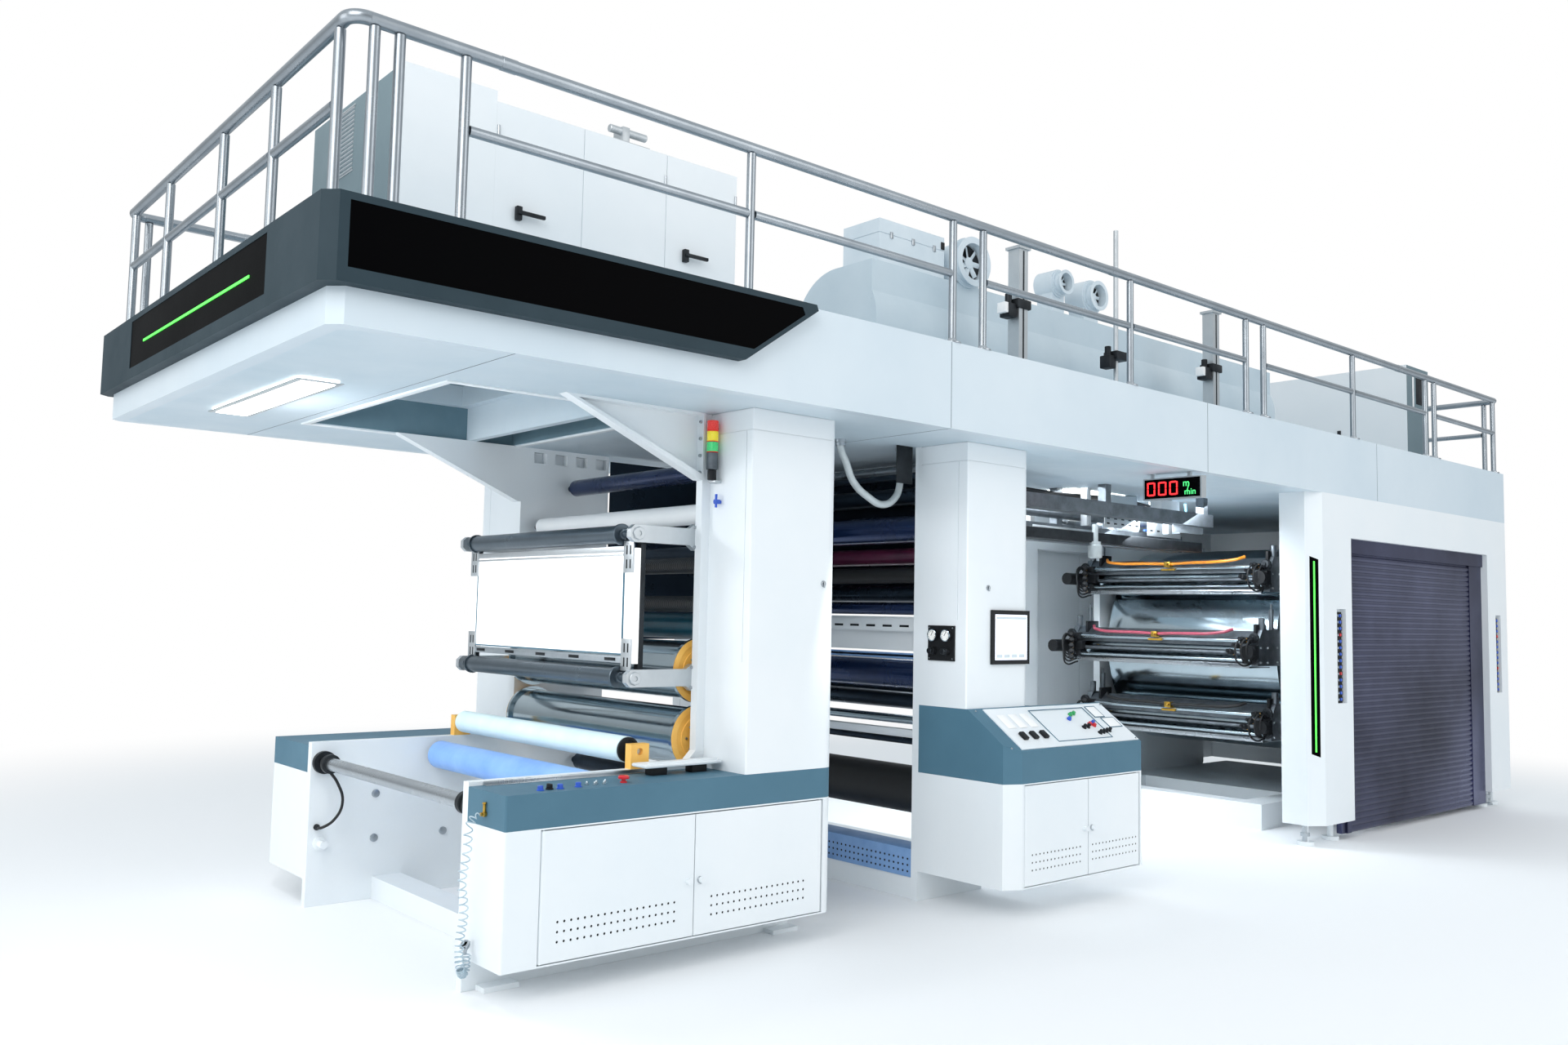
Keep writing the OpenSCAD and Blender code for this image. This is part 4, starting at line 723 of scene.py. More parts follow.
@dataclass
class Unwinder:
    """Controls, roller ends, screws and fittings of the unwinder."""

    counter: float = 774.0
    blue_buttons: tuple[Point, ...] = ((175, 60), (262, 62), (345, 66))
    switches: tuple[Point, ...] = ((402, 96), (424, 74), (448, 100), (470, 78), (492, 104))

    def build(self) -> None:
        """Model and finish the pieces."""
        self._controls()
        self._roller_ends()
        self._panel_fittings()
        self._gusset_screws()
        self._stack_light()
        self._side_frames()
        self._locks()

    def _controls(self) -> None:
        """Buttons, selector, stop button, tray and rail on the counter."""
        z = self.counter
        button = [(15, 0), (15, 4), (11, 5), (11, 17), (9, 19)]
        piece("counter_buttons_blue", [turned((x, y, z), (0, 0, 1), button) for x, y in self.blue_buttons], BLUE_PLASTIC)
        piece("counter_stop", [turned((560, 74, z), (0, 0, 1), [(14, 0), (14, 6), (9, 7), (9, 14), (22, 16), (23, 24), (18, 29)])],
              RED_PLASTIC)
        piece("counter_selector", [turned((218, 66, z), (0, 0, 1), [(15, 0), (15, 5), (12, 6), (12, 12)]),
                                   block((212, 52, z + 10), (224, 80, z + 22), 2)], BLACK_PLASTIC)
        piece("counter_switches", [turned((x, y, z), (0, 0, 1), [(9, 0), (9, 3), (4, 4), (4, 13), (2.5, 15)], 16)
                                   for x, y in self.switches], CHROME)
        piece("counter_rail", [block((60, 292, z), (900, 300, z + 16), 2), block((60, 270, z), (900, 300, z + 3), 1)], STEEL)
        piece("counter_tray", [block((720, 150, z + 34), (1120, 262, z + 50), 8), block((740, 160, z + 48), (1100, 172, z + 58), 4)],
              WHITE_PAINT)
        piece("counter_tray_feet", [block((770, 180, z), (850, 232, z + 34), 3), block((980, 180, z), (1060, 232, z + 34), 3)],
              BLACK_PLASTIC)

    def _roller_ends(self) -> None:
        """End discs, clamps and rings of the rollers."""
        discs, caps, hubs = [], [], []
        for z in (1800, 1170):
            for y, s in ((WEB_FRONT + 140, -1), (WEB_REAR - 110, 1)):
                discs.append(turned((780, y, z), (0, s, 0), [(48, 0), (48, 12), (45, 15), (24, 15), (24, 34), (20, 36)], 32))
            for y, s in ((WEB_FRONT, -1), (WEB_REAR, 1)):
                caps.append(turned((780, y, z), (0, s, 0), [(30, 0), (30, 6), (27, 9), (12, 9), (12, 4)], 8))
        piece("guide_roller_discs_upper", discs[:2], GUIDE_ROLL, "guide_roller_upper")
        piece("guide_roller_discs_lower", discs[2:], GUIDE_ROLL, "guide_roller_lower")
        piece("guide_arm_caps", caps, ALUMINIUM)
        for name, z in (("lower", 895), ("upper", 1197)):
            ring = turned((1165, WEB_FRONT + 50, z), (0, -1, 0), [(146, 0), (146, 4), (120, 6), (118, 3), (96, 3), (94, 7), (40, 8)], 64)
            piece(f"nip_end_ring_{name}", [ring], OCHRE, f"nip_roll_{name}")
            back = turned((1165, WEB_REAR - 50, z), (0, 1, 0), [(146, 0), (146, 4), (120, 6), (118, 3), (96, 3), (94, 7), (40, 8)], 64)
            piece(f"nip_back_ring_{name}", [back], OCHRE, f"nip_roll_{name}")
            hub = [turned((1165, WEB_FRONT + 42, z), (0, -1, 0), [(38, 0), (38, 10), (26, 12), (26, 30)], 32)]
            hub += screws([(1165 + 70 * math.cos(a), WEB_FRONT + 43, z + 70 * math.sin(a)) for a in span(0, math.tau, 9)[:-1]],
                          (0, -1, 0), 12)
            piece(f"nip_hub_{name}", hub, STEEL, f"nip_roll_{name}")
        wheel = [turned((790, WEB_FRONT + 54, 862), (0, -1, 0), [(54, 0), (54, 10), (50, 12), (42, 12), (40, 4), (20, 4), (18, 14), (15, 16)], 36)]
        piece("lay_on_hub", wheel, BLACK_PLASTIC, "lay_on_roller")
        hubs.append(turned((650, WEB_FRONT + 45, 700), (0, -1, 0), [(64, 0), (64, 8), (58, 12), (30, 12), (28, 22)], 36))
        piece("spreader_hub", hubs, BLACK_PLASTIC, "spreader_roller")
        chuck = [turned((60, y, 692), (0, 1, 0), [(40, 0), (46, 4), (46, 30), (40, 34)], 36) for y in (WEB_FRONT + 70, WEB_REAR - 110)]
        piece("shaft_collars", chuck, DARK_STEEL, "unwind_shaft")

    def _panel_fittings(self) -> None:
        """Slotted plates of the inspection panel."""
        plates, slots = [], []
        for y in (WEB_FRONT + 42, WEB_REAR - 118):
            for z in (1200, 1630):
                plates.append(block((782, y, z), (790, y + 76, z + 140), 1.5))
                for k in range(2):
                    for j in range(2):
                        # Each slot is a thin dark block on the plate: painted shade in the slot.
                        slots.append(block((781.2, y + 16 + 28 * k, z + 18 + 62 * j), (783, y + 26 + 28 * k, z + 58 + 62 * j), 0.6))
        piece("panel_plates", plates, ALUMINIUM)
        channel = [block((783, WEB_FRONT + 60, 1232), (789, WEB_REAR - 60, 1262), 1)]
        piece("panel_channel", channel, GALVANISED)
        for y in span(WEB_FRONT + 160, WEB_REAR - 230, 5):
            # The slots of the channel are thin dark blocks too: painted shade.
            slots.append(block((782.2, y, 1240), (784, y + 90, 1254), 0.6))
        piece("panel_slot_shade", slots, DARK_STEEL)
        low, high = (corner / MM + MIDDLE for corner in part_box("inspection_panel"))
        x, y0, y1, z0, z1 = low.x, WEB_FRONT + 120, WEB_REAR - 110, 1268, 1740
        edges = [block((x - 3, y0 - 1, z0), (x + 4, y0 + 5, z1), 1), block((x - 3, y1 - 5, z0), (x + 4, y1 + 1, z1), 1),
                 block((x - 3, y0, z0), (x + 4, y1, z0 + 6), 1)]
        piece("panel_edges", edges, SLATE_PAINT)
        posts = [block((814.6, y - 0.6, 1149.5), (840.6, y + 30.6, 1820.6), 1) for y in (WEB_FRONT + 30, WEB_REAR - 60)]
        piece("panel_uprights", posts, DARK_STEEL)
        piece("panel_top_bar", [block((x - 6, y0, z1 - 18), (x + 6, y1, z1 + 8), 2), block((x - 9, y0, z1 - 34), (x - 4, y1, z1 - 26), 1)], ALUMINIUM)

    def _gusset_screws(self) -> None:
        """Screws of the gussets, the frame edges and the roller arms."""
        spots = [(1085 - 13, y, z) for y in (300, WEB_REAR + 44) for z in span(2090, 2320, 4)]
        heads = screws(spots, (-1, 0, 0), 16)
        heads += screws([(1112 - 30, y - 0.2, z + dz) for y in (WEB_FRONT,) for z in (1800, 1170) for dz in (-45, 45)], (0, -1, 0), 14)
        heads += screws([(790 - 8, y, z) for y in (WEB_FRONT + 54, WEB_FRONT + 106) for z in (1190, 1780)], (-1, 0, 0), 9)
        piece("unwinder_screws", heads, STEEL)

    def _stack_light(self) -> None:
        """Lenses of the signal stack."""
        x, y = 1092, 240
        parts = []
        for finish, z0, z1, r in ((RED_LENS, 2276, 2321, 26), (YELLOW_LENS, 2228, 2272, 26), (GREEN_LENS, 2180, 2224, 26),
                                  (MACHINED, 2100, 2176, 26), (BLACK_PLASTIC, 2054, 2098, 20)):
            lens = turned((x, y, z0), (0, 0, 1), [(r - 2, 0), (r, 2), (r, z1 - z0 - 2), (r - 2, z1 - z0)], 32)
            lens.data.materials.append(finish.material())
            parts.append(lens)
        for z in (2273, 2225, 2177):
            band = turned((x, y, z), (0, 0, 1), [(26.6, 0), (26.6, 3)], 32)
            band.data.materials.append(RED_LENS.material())
            parts.append(band)
        stand = block((x, 216, 2041), (1130, 264, 2052), 2)
        stand.data.materials.append(ALUMINIUM.material())
        parts.append(stand)
        obj = joined("stack_light_lenses", parts, "machine")
        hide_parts("stack_light")
        piece("tower_air_tap", [rod((1130, 222, 1956), (1096, 222, 1956), 16), rod((1106, 222, 1930), (1106, 222, 1990), 12),
                                block((1098, 212, 1946), (1122, 232, 1966), 2)], BLUE_PLASTIC)

    def _side_frames(self) -> None:
        """Fittings on the inner faces of the side frames."""
        tube = turned((60, WEB_REAR, 300), (0, -1, 0), [(34, 0), (34, 8), (18, 10), (18, 60)], 24)
        piece("side_tube", [tube], WHITE_PAINT)
        bosses = [turned((x, WEB_REAR, z), (0, -1, 0), [(20, 0), (20, 6), (14, 8)], 24) for x, z in ((330, 520), (330, 300), (700, 300))]
        piece("side_bosses", bosses, STEEL)

    def _locks(self) -> None:
        """Quarter-turn locks of the doors and towers."""
        key = [(14, 0), (14, 4), (12, 6), (8, 6), (8, 3)]
        for body, x, y, z in (("unwinder_door_right", 899, 0, 364), ("console_door_right", 3195, -301, 399)):
            piece(f"{body}_lock", [turned((x, y, z), (0, -1, 0), key), block((x - 3, y - 11, z - 16), (x + 3, y - 4, z + 6), 1)], STEEL, body)
        towers = [turned((x, y, z), (0, -1, 0), key) for x, y, z in ((1560, 0, 1603), (2693, -20, 1618))]
        towers += [block((x - 3, y - 11, z - 18), (x + 3, y - 4, z + 6), 1) for x, y, z in ((1560, 0, 1603), (2693, -20, 1618))]
        piece("tower_locks", towers, STEEL)


@dataclass
class Vents:
    """Painted shade in the round vent holes of the four door leaves: a thin black disc in each hole."""

    leaves: tuple[tuple[str, float, float, float], ...] = (
        ("unwinder_door_left", 0, 80, -8.25), ("unwinder_door_right", 0, 90, -9.25),
        ("console_door_left", -301, 60, -2.75), ("console_door_right", -301, 30, 0.25))
    pitch: float = 30.0
    rise: float = 37.0

    def build(self) -> None:
        """Model and finish the pieces, one to a door."""
        for body, face, inset, shifted in self.leaves:
            low, high = (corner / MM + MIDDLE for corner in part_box(body))
            count = math.floor((high.x - low.x - 2 * inset) / self.pitch) + 1
            middle = (low.x + high.x) / 2 + shifted
            # Each hole is a thin black disc on the door leaf: painted shade of the dark inside.
            hole_shade = turned((middle, face + 2.2, low.z + 72), (0, -1, 0), [(4.85, 0), (4.85, 1.0)], 20)
            moves = [shift((i - (count - 1) / 2) * self.pitch, 0, j * self.rise) for i in range(count) for j in range(3)]
            piece(f"{body}_vents", copies(hole_shade, moves), BLACK_PLASTIC, body)


@dataclass
class Console:
    """Controls on the sloping desk, the touch screen, gauges and the speed display."""

    x0: float = 2530.0
    y0: float = -301.0
    z0: float = 815.0
    run: float = 265.0
    rise: float = 190.0

    def _on_desk(self, x: float, up: float, lift: float = 0.0) -> Vector:
        """Design point on the desk: x along it and up the slope from its front edge."""
        slope = math.atan2(self.rise, self.run)
        return Vector((self.x0 + x, self.y0 + up * math.cos(slope) - lift * math.sin(slope),
                       self.z0 + 5 + up * math.sin(slope) + lift * math.cos(slope)))

    def _normal(self) -> Vector:
        """Upward direction of the desk."""
        slope = math.atan2(self.rise, self.run)
        return Vector((0, -math.sin(slope), math.cos(slope)))

    def _slab(self, x0: float, x1: float, up0: float, up1: float, thick: float, edge: float = 2.0) -> bpy.types.Object:
        """A flat plate that lies on the desk."""
        middle = self._on_desk((x0 + x1) / 2, (up0 + up1) / 2, thick / 2)
        half = Vector(((x1 - x0) / 2, (up1 - up0) / 2, thick / 2))
        turn = math.degrees(math.atan2(self.rise, self.run))
        return block(middle - half, middle + half, edge, (turn, 0, 0))

    def _knob(self, x: float, up: float, profile: Sequence[Point]) -> bpy.types.Object:
        """A turned control that stands on the desk."""
        return turned(self._on_desk(x, up), self._normal(), profile, 20)

    def build(self) -> None:
        """Model and finish the pieces."""
        self._desk()
        self._screen()
        self._gauges()
        self._display()

    def _desk(self) -> None:
        """Plates, buttons, knobs and toggles of the desk."""
        plates = [self._slab(x, x + 62, 160, 262, 3) for x in (150, 240, 330)]
        plates += [self._slab(930, 1010, 205, 285, 3), self._slab(970, 1075, 120, 190, 3)]
        piece("desk_plates", plates, LABEL)
        rims = []
        for x0, x1, u0, u1 in ((430, 900, 40, 285), (925, 1015, 200, 290), (965, 1080, 115, 195)):
            for a, b, c, d in ((x0, x1, u0, u0 + 4), (x0, x1, u1 - 4, u1), (x0, x0 + 4, u0, u1), (x1 - 4, x1, u0, u1)):
                rims.append(self._slab(a, b, c, d, 3, 0.5))
        piece("desk_rims", rims, SLATE_PAINT)
        piece("desk_toggles", [self._slab(x, x + 34, 70, 120, 16, 3) for x in (180, 262, 344)], BLACK_PLASTIC)
        button = [(13, 0), (13, 5), (10, 6), (10, 14), (8, 16)]
        piece("desk_buttons_blue", [self._knob(690, 200, button), self._knob(855, 160, button)], BLUE_PLASTIC)
        piece("desk_buttons_green", [self._knob(735, 232, button), self._knob(770, 240, button)], GREEN_PLASTIC)
        piece("desk_buttons_red", [self._knob(815, 150, button), self._knob(842, 138, button)], RED_PLASTIC)
        knob = [(14, 0), (14, 3), (10, 5), (9, 20), (7, 22)]
        piece("desk_knobs", [self._knob(x, u, knob) for x, u in ((745, 130), (780, 132), (830, 80), (862, 84), (894, 88), (926, 92))],
              DARK_STEEL)
        piece("desk_screws", screws([self._on_desk(x, u) for x in (30, 1085) for u in (20, 300)], self._normal(), 10), STEEL)

    def _screen(self) -> None:
        """Lit face of the touch screen."""
        low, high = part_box("touch_screen")
        low, high = low / MM + MIDDLE, high / MM + MIDDLE
        piece("screen_face", [block((low.x + 22, low.y - 1.2, low.z + 22), (high.x - 22, low.y + 2, high.z - 22), 1)], SCREEN)
        bars = [block((low.x + 30, low.y - 2.0, high.z - 46), (high.x - 30, low.y + 1, high.z - 34), 0)]
        bars += [block((low.x + 34 + 60 * k, low.y - 2.0, low.z + 34), (low.x + 80 + 60 * k, low.y + 1, low.z + 52), 0) for k in range(4)]
        piece("screen_bars", bars, PALE_GREY)

    def _gauges(self) -> None:
        """Dials, bezels and regulator knobs on the gauge panel."""
        x = 2522
        bezels = [turned((x - 18, y, 1370), (-1, 0, 0), [(31, 0), (31, 5), (27, 6), (26, 2)], 36) for y in (100, 190)]
        piece("gauge_bezels", bezels, CHROME)
        piece("gauge_dials", [turned((x - 19, y, 1370), (-1, 0, 0), [(26, 0), (26, 1.5)], 36) for y in (100, 190)], DIAL)
        marks = []
        for y in (100, 190):
            for k in range(11):
                a = math.radians(225 - 27 * k)
                c = Vector((x - 21, y + 21 * math.cos(a), 1370 + 21 * math.sin(a)))
                marks.append(block(c - Vector((0.4, 1.0, 2.2)), c + Vector((0.4, 1.0, 2.2)), 0, (90 - math.degrees(a), 0, 0)))
            marks.append(block((x - 22, y - 1.2, 1366), (x - 21, y + 1.2, 1390), 0, (30, 0, 0)))
        piece("gauge_marks", marks, BLACK_PLASTIC)
        grip = [(20, 0), (20, 3), (16, 5), (16, 20), (13, 23)]
        piece("gauge_knobs", [turned((x - 22, y, 1290), (-1, 0, 0), grip, 12) for y in (100, 190)], DARK_STEEL)
        piece("gauge_panel_screws", screws([(x, y, z) for y in (66, 224) for z in (1252, 1408)], (-1, 0, 0), 8), STEEL)

    def _display(self) -> None:
        """Black face and lit digits of the speed display, which faces the unwinder."""
        x = 4324
        piece("display_face", [block((x - 2, -262, 2208), (x + 1, 111, 2324), 1)], BLACK_GLASS)
        bars = []
        wide, tall, t = 56, 84, 10
        for k in range(3):
            y1 = 92 - 76 * k
            y0 = y1 - wide
            z0, z1, zm = 2224, 2224 + tall, 2224 + tall / 2
            for a, b in (((y0 + t, z0), (y1 - t, z0 + t)), ((y0 + t, z1 - t), (y1 - t, z1)),
                         ((y0, z0 + 3), (y0 + t, zm - 2)), ((y0, zm + 2), (y0 + t, z1 - 3)),
                         ((y1 - t, z0 + 3), (y1, zm - 2)), ((y1 - t, zm + 2), (y1, z1 - 3))):
                bars.append(block((x - 4, a[0], a[1]), (x - 2, b[0], b[1]), 0.8))
        piece("display_digits", bars, RED_DIGIT)
        parts = []
        for text, y, z, size in (("m", -150, 2272, 60), ("min", -160, 2222, 52), ("/", -176, 2242, 66)):
            bpy.ops.object.select_all(action="DESELECT")
            bpy.ops.object.text_add(location=at(x - 4, y, z), rotation=Euler((math.pi / 2, 0, -math.pi / 2)))
            obj = bpy.context.active_object
            obj.data.body = text
            obj.data.size = size * MM
            obj.data.extrude = 0.8 * MM
            bpy.ops.object.convert(target="MESH")
            parts.append(settle(obj, "letters"))
        piece("display_unit", parts, GREEN_DIGIT)


class Level(Enum):
    """A printing deck level by its step from the drum axis and the colour of its ink hose."""

    TOP = (1, AMBER)
    MIDDLE = (0, ROSE)
    BOTTOM = (-1, RUBBER)


@dataclass
class Deck:
    """Small parts of one printing deck, placed about its plate cylinder."""

    level: Level
    side: int
    drum: tuple[float, float] = (7340.0, 1270.0)
    step: float = 540.0
    reach: float = 888.0

    def _p(self, out: float, y: float, up: float) -> tuple[float, float, float]:
        """Design point from the distance outward, the Y and the height above the plate cylinder."""
        i = self.level.value[0]
        dx = math.sqrt(self.reach**2 - (i * self.step) ** 2)
        return (self.drum[0] + self.side * (dx + out), y, self.drum[1] + i * self.step + up)

    def _block(self, out: tuple[float, float], y: tuple[float, float], up: tuple[float, float], edge: float = 2.0):
        """A box between two distances outward, two Y values and two heights."""
        a, b = self._p(out[0], y[0], up[0]), self._p(out[1], y[1], up[1])
        return block([min(p, q) for p, q in zip(a, b)], [max(p, q) for p, q in zip(a, b)], edge)

    def build(self) -> None:
        """Model and finish the pieces."""
        name = f"deck_{self.level.name.lower()}_{'left' if self.side < 0 else 'right'}"
        hose = self.level.value[1]
        y0, y1 = WEB_FRONT, WEB_REAR
        out = (self.side, 0, 0)
        bars = [rod(self._p(346, y0 + 20, 70), self._p(346, y1 - 20, 70), 30, 2),
                rod(self._p(336, y0 + 30, -70), self._p(336, y1 - 30, -70), 22, 2)]
        piece(f"{name}_bars", bars, CHROME)
        blocks = []
        for y in (y0 + 60, y1 - 120):
            blocks += [self._block((326, 372), (y, y + 60), (48, 96), 5), self._block((318, 358), (y + 10, y + 50), (-92, -48), 5),
                       self._block((150, 300), (y - 30, y - 8), (100, 190), 4), self._block((300, 352), (y - 10, y + 70), (-40, 30), 6)]
        piece(f"{name}_clamps", blocks, BLACK_PLASTIC)
        ends = []
        for y in (y0 + 25, y1 - 25):
            ends += [rod(self._p(90, y, 150), self._p(90, y, 300), 34, 2), rod(self._p(90, y, 300), self._p(90, y, 340), 14),
                     rod(self._p(230, y, 150), self._p(230, y, 235), 46, 3), rod(self._p(20, y, 60), self._p(20, y, 160), 40, 3)]
        piece(f"{name}_cylinders", ends, MACHINED)
        caps = [turned(self._p(332, y, z), out, [(36, 0), (36, 18), (30, 22), (30, 30), (12, 32), (12, 44)], 24)
                for y in (y0 + 25, y1 - 25) for z in (-60, 90)]
        piece(f"{name}_caps", caps, DARK_STEEL)
        heads = screws([self._p(300, y, 60) for y in span(y0 + 130, y1 - 130, 14)], out, 12)
        heads += screws([self._p(cx, y0 - 0.2, cz) for cx in (-60, 60, 200, 300) for cz in (-85, 20)], (0, -1, 0), 16)
        piece(f"{name}_screws", heads, STEEL)
        mid = (y0 + y1) / 2
        tubes = [cable([self._p(300, y0 + 210, 150), self._p(352, y0 + 260, 128), self._p(366, mid - 120, 108), self._p(366, mid, 104),
                        self._p(366, mid + 120, 108), self._p(352, y1 - 260, 128), self._p(300, y1 - 210, 150)], 24)]
        piece(f"{name}_ink_hose", tubes, hose)
        fittings = [self._block((344, 392), (mid - 26, mid + 26), (78, 122), 4), rod(self._p(392, mid - 12, 100), self._p(420, mid - 12, 100), 20, 2),
                    rod(self._p(370, mid - 60, 60), self._p(370, mid + 60, 60), 18, 2)]
        piece(f"{name}_fittings", fittings, BRASS)
        tray = [self._block((30, 330), (y0 + 70, y1 - 70), (-128, -122), 1), self._block((326, 330), (y0 + 70, y1 - 70), (-122, -96), 1)]
        piece(f"{name}_tray", tray, STEEL)
        self._drive_cables(name)

    def _drive_cables(self, name: str) -> None:
        """Connectors and looping cables of the drives at the far end, and of the near end."""
        loops, plugs, bands = [], [], []
        for y, count in ((WEB_REAR - 25, 5), (WEB_FRONT + 25, 3)):
            for k in range(count):
                reach = 410 + 36 * k
                drop = 60 + 22 * k
                side = -1 if y > 1000 else 1
                loops.append(cable([self._p(360, y + side * 14 * k, 60 - 8 * k), self._p(reach, y + side * 20 * k, 74),
                                    self._p(reach + 30, y + side * 24 * k, -drop / 2), self._p(reach - 30, y + side * 18 * k, -drop),
                                    self._p(330, y + side * 12 * k, -drop + 10)], 13))
                plug = turned(self._p(reach - 26, y + side * (30 + 26 * k), 70 - 44 * k), (self.side * 0.7, side * 0.4, 0.2),
                              [(15, 0), (17, 3), (17, 26), (21, 28), (21, 50), (13, 54), (13, 70)], 16)
                plugs.append(plug)
                bands.append(turned(self._p(reach - 26, y + side * (30 + 26 * k), 70 - 44 * k), (self.side * 0.7, side * 0.4, 0.2),
                                    [(17.4, 10), (17.4, 15)], 16))
        piece(f"{name}_cables", loops, RUBBER)
        piece(f"{name}_plugs", plugs, BLACK_PLASTIC)
        piece(f"{name}_bands", bands, OCHRE)


@dataclass
class PrintBay:
    """Overhead mechanics between the infeed tower and the portal."""

    def build(self) -> None:
        """Model and finish the pieces."""
        plates = [block((5894, 1175, 2140), (5902, 1504, 2281), 3), block((5894, 829, 2116), (5902, 1104, 2216), 3),
                  block((5500, 640, 2100), (5900, 648, 2200), 3), block((4300, 1500, 2200), (4308, 1800, 2330), 3)]
        piece("bay_plates", plates, GALVANISED)
        rods = [rod((3100, y, z), (6050, y, z), d, 3) for y, z, d in ((820, 2250, 44), (980, 2180, 60), (1290, 2230, 36), (1480, 2150, 56))]
        piece("bay_rods", rods, MACHINED)
        dark = [block((3100, 760, 1985), (6090, 860, 2055), 4), block((3100, 1240, 2040), (5900, 1330, 2105), 4)]
        piece("bay_tracks", dark, DARK_STEEL)
        hangers = [block((x, y, 2100), (x + 50, y + 50, 2359), 3) for x in (3600, 4700, 5700) for y in (800, 1270)]
        piece("bay_hangers", hangers, ALUMINIUM)
        self._brackets()
        runs = []
        for k in range(6):
            y = 900 + 70 * k
            runs.append(cable([(3100, y, 2300), (3700, y + 20, 2330 - 8 * k), (4400, y - 10, 2310), (5200, y + 16, 2326), (5880, y, 2290)], 18))
        piece("bay_cable_runs", runs, RUBBER)

    def _brackets(self) -> None:
        """Slide plates, boxes, cylinders and hoses above the printing decks."""
        plates = [block((5045, 894, 2116), (5478, 902, 2205), 3), block((5582, 894, 2085), (6017, 902, 2190), 3),
                  block((4300, 938, 2010), (5000, 946, 2090), 3)]
        piece("slide_plates", plates, ALUMINIUM)
        # The holes of the slide plates are thin dark blocks: painted shade in the holes.
        holes = [block((x, 892.5, z), (x + 34, 894.5, z + 12), 0.5) for x in span(5070, 5420, 5) for z in (2140, 2176)]
        holes += [block((x, 892.5, 2120), (x + 34, 894.5, 2132), 0.5) for x in span(5610, 5970, 5)]
        piece("slide_plate_hole_shade", holes, DARK_STEEL)
        boxes = [block((5104, 880, 2250), (5426, 960, 2352), 6), block((3500, 900, 2230), (3700, 990, 2352), 6)]
        piece("bay_boxes_grey", boxes, PALE_GREY)
        piece("bay_boxes_white", [block((5446, 700, 2232), (5689, 790, 2330), 6)], WHITE_PAINT)
        cylinders = [rod((x, y, z), (x + 420, y, z), 64, 4) for x, y, z in ((3900, 1110, 2235), (4900, 1130, 2150), (5450, 1440, 2270))]
        cylinders += [rod((x - 60, y, z), (x, y, z), 24, 2) for x, y, z in ((3900, 1110, 2235), (4900, 1130, 2150), (5450, 1440, 2270))]
        piece("bay_cylinders", cylinders, MACHINED)
        teal = [cable([(5560, 700, 2240), (5640, 690, 2200), (5744, 700, 2184), (5800, 720, 2230), (5830, 740, 2330)], 16),
                cable([(5580, 720, 2240), (5690, 700, 2170), (5790, 720, 2210), (5850, 760, 2330)], 12)]
        piece("bay_teal_hoses", teal, TEAL_RUBBER)
        piece("bay_blue_line", [rod((5600, 940, 2128), (6050, 940, 2128), 12, 1)], BLUE_PLASTIC)
        jars = [turned((4740, 760, 1880), (0, 0, 1), [(34, 0), (46, 6), (46, 84), (38, 92), (38, 112), (20, 114), (20, 230)], 28)]
        piece("oil_jar", jars, CLEAR_HOSE)


@dataclass
class PortalFittings:
    """Fittings in the slots of the portal, and the feet."""

    def build(self) -> None:
        """Model and finish the pieces."""
        blocks, blues, chromes, reds = [], [], [], []
        for x0, x1 in ((6093, 6227), (8950, 9060)):
            mid = (x0 + x1) / 2
            blocks.append(block((x0 + 3, -209, 935), (x1 - 3, -205, 1555), 0))
            for k, z in enumerate(span(960, 1530, 14)):
                blocks.append(block((x0 + 8, -216, z - 14), (x1 - 8, -206, z + 14), 2))
                chromes.append(turned((mid - 22, -216, z), (0, -1, 0), [(9, 0), (9, 10), (6, 12)], 14))
                target = reds if k % 6 == 4 else blues
                target.append(turned((mid + 20, -216, z), (0, -1, 0), [(11, 0), (11, 8), (8, 11)], 14))
        piece("slot_modules", blocks, BLACK_PLASTIC)
        piece("slot_chrome", chromes, CHROME)
        piece("slot_blue", blues, BLUE_PLASTIC)
        piece("slot_red", reds, RED_PLASTIC)
        feet = []
        for x, y in ((5860, -115), (9030, -107), (5860, 2575), (9030, 2575)):
            feet.append(turned((x, y, 0), (0, 0, 1), [(48, 0), (48, 12), (40, 18), (18, 20), (18, 60), (30, 60), (30, 80), (18, 80), (18, 136)], 24))
        piece("levelling_feet", feet, STEEL)


